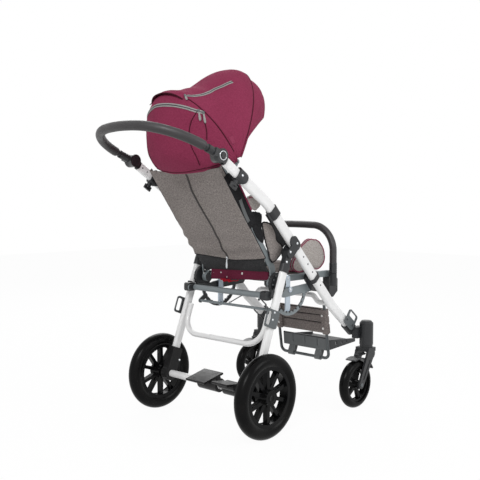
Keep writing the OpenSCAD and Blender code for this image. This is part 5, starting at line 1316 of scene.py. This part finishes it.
# body, name, finish, slot, way out and heads
boltValues = [
    ("chassis", "zincBolts", "silverMetal", "silver", 1,
     heads(238, 5.0, 2.6, (211, 652), (173, 623)) + heads(238, 4.6, 2.0, (-72, 887))),
    # flat dark discs for the notch holes: the shade inside each hole, painted
    ("chassis", "notchHoleShades", "blackPlastic", "dark_metal", 1,
     heads(186, 4.0, 0.4, *[(232 + 83 * math.cos(turn), 480 + 83 * math.sin(turn)) for turn in notchTurns])),
    ("chassis", "darkBolts", "blackPlastic", "dark_metal", 1,
     heads(243, 4.6, 2.4, (512, 343), (546, 315)) + heads(186, 5.2, 3.0, (172, 412), (290, 410))
     + heads(186, 5.0, 3.0, (100, 470)) + heads(186, 4.4, 2.4, (350, 480))),
    # flat dark discs for the holes in the tubes: painted shade inside each hole
    ("chassis", "tubeHoles", "blackPlastic", "black_plastic", 1,
     heads(233, 3.4, 0.3, (253, 601), (278, 573), (306, 542), (333, 512), (354, 489))),
    ("rear_frame", "legBolts", "silverMetal", "silver", 1,
     heads(237, 4.4, 2.2, (80, 392), (90, 416)) + heads(237, 4.6, 2.0, (35, 172))
     + heads(231.8, 5.0, 2.6, (160, 588))),
    ("seat", "seatBolts", "blackPlastic", "dark_metal", 1,
     heads(204, 9.0, 3.0, (152, 508)) + heads(204, 3.4, 1.8, (130, 508), (163, 527), (163, 489))),
    ("seat", "coverSlots", "darkBracket", "dark_metal", 1,
     heads(204, 3.2, 0.8, (135, 537.4), (122.6, 525), (118, 508), (122.6, 491))),
    ("seat", "lockBolts", "silverMetal", "silver", 1,
     heads(189.8, 6.5, 2.8, (232, 480)) + heads(178, 4.4, 2.2, (232, 520))),
    ("backrest", "barRivets", "whiteSnap", "silver", -1,
     heads(172.4, 2.6, 0.8, (152, 548), (144, 535), (139, 522))),
    # flat dark discs for the holes in the posts: painted shade inside each hole
    ("posts", "postInnerHoles", "blackPlastic", "black_plastic", -1,
     heads(213.4, 3.0, 0.3, (-128, 923), (-107, 909))),
    ("chassis", "mountBolts", "darkBracket", "dark_metal", -1, heads(186, 5.2, 2.6, (76, 476), (96, 472))),
    ("rear_frame", "holderBolts", "silverMetal", "silver", -1, heads(207, 4.4, 2.0, (40, 190)))]
ringValues = {"x": -166, "y": 242.2, "z": 948, "radius": 14, "section": (0.0018, 0.0015)}
capValues = {"at": (0, 303.2, 145), "profile": [(0.0165, -0.002), (0.0165, 0.0006), (0.0145, 0.0022),
                                                (0.0105, 0.0025), (0.0095, 0.0016), (0.003, 0.0016)]}
forkBoltValues = {"x": 524, "outer": 305, "inner": 243, "z": 92.5,
                  "profile": [(0.0085, -0.001), (0.0085, 0.0016), (0.007, 0.0032), (0.002, 0.0034)]}


def makeBolts(rows):
    for body, name, finish, slot, out, spots in rows:
        headsOn(name, body, finish, [(spot(x, side * y, z), (0, side * out, 0), radius / 1000, height / 1000)
                                           for x, z, y, radius, height in spots for side in (-1, 1)])


# raised rings on the handle knuckles, left bare
def makeKnuckleRings(x, y, z, radius, section):
    angle = np.linspace(0, 2 * np.pi, 48, endpoint=False)
    rings = [carried(spot(x + radius * np.cos(angle), side * y, z + radius * np.sin(angle)),
                     ring(1.0, 12) * np.array(section), (0, side, 0), True) for side in (-1, 1)]
    link(merged("knuckleRings", rings), "silverMetal", "push_handle")


# caps on the wheel hubs and six-sided heads on the caster forks
def makeWheelTrim(cap, bolt):
    x, y, z = cap["at"]
    for side, hand in hands:
        disc = turned(spot(x, side * y, z), (0, side, 0), cap["profile"], 32)
        link(merged("hubCap" + hand, [disc]), "rimPlastic", "rear_wheel_" + hand.lower())
        ends = [turned(spot(bolt["x"], side * at, bolt["z"]), (0, side * out, 0), bolt["profile"], 6)
                for at, out in ((bolt["outer"], 1), (bolt["inner"], -1))]
        link(merged("forkBolts" + hand, ends), "darkBracket", "caster_" + hand.lower(), smooth=False)


makeBolts(boltValues)
makeKnuckleRings(**ringValues)
makeWheelTrim(capValues, forkBoltValues)
print("stage: fasteners made")


# floor and light
stageValues = {"floorSize": 16.0, "floorTone": 0.9, "floorGlow": 0.955, "sky": 0.62, "aim": (0, 0, 0.62),
               "lamps": [("keyLamp", (-2.6, -1.9, 2.9), 1.2, 62), ("fillLamp", (1.2, -3.0, 1.9), 1.4, 26),
                         ("backLamp", (1.9, 2.4, 2.7), 2.0, 42)]}


# rays that see the stage itself, straight, mirrored or through a clear piece
def seenRays(tree):
    path = addNode(tree, "ShaderNodeLightPath").outputs
    direct = sums(tree, "MAXIMUM", path["Is Camera Ray"], path["Is Glossy Ray"])
    return sums(tree, "MAXIMUM", direct, path["Is Transmission Ray"])


def makeStage(floorSize, floorTone, floorGlow, sky, aim, lamps):
    half = floorSize / 2
    mesh = bpy.data.meshes.new("floor")
    mesh.from_pydata([(-half, -half, 0), (half, -half, 0), (half, half, 0), (-half, half, 0)], [], [(0, 1, 2, 3)])
    floor = bpy.data.objects.new("floor", mesh)
    bpy.context.scene.collection.objects.link(floor)
    material = bpy.data.materials.new("paleFloor")
    material.use_nodes = True
    tree = material.node_tree
    tree.nodes.clear()
    matt = addNode(tree, "ShaderNodeBsdfDiffuse", {"Color": (floorTone, floorTone, floorTone, 1)})
    glow = addNode(tree, "ShaderNodeEmission", {"Color": (1, 1, 1, 1), "Strength": 1.0})
    both = addNode(tree, "ShaderNodeMixShader", {0: sums(tree, "MULTIPLY", seenRays(tree), floorGlow),
                                                 1: matt.outputs[0], 2: glow.outputs[0]})
    addNode(tree, "ShaderNodeOutputMaterial", {"Surface": both.outputs[0]})
    mesh.materials.append(material)

    world = bpy.data.worlds.new("paleSky")
    bpy.context.scene.world = world
    world.use_nodes = True
    tree = world.node_tree
    tree.nodes.clear()
    strength = addNode(tree, "ShaderNodeMix", {0: seenRays(tree), 2: sky, 3: 1.0}).outputs[0]
    light = addNode(tree, "ShaderNodeBackground", {"Color": (1, 1, 1, 1), "Strength": strength})
    addNode(tree, "ShaderNodeOutputWorld", {"Surface": light.outputs[0]})

    for name, place, size, power in lamps:
        lamp = bpy.data.objects.new(name, bpy.data.lights.new(name, "AREA"))
        bpy.context.scene.collection.objects.link(lamp)
        lamp.location = place
        lamp.rotation_euler = (Vector(aim) - Vector(place)).to_track_quat("-Z", "Y").to_euler()
        lamp.data.size = size
        lamp.data.energy = power


makeStage(**stageValues)
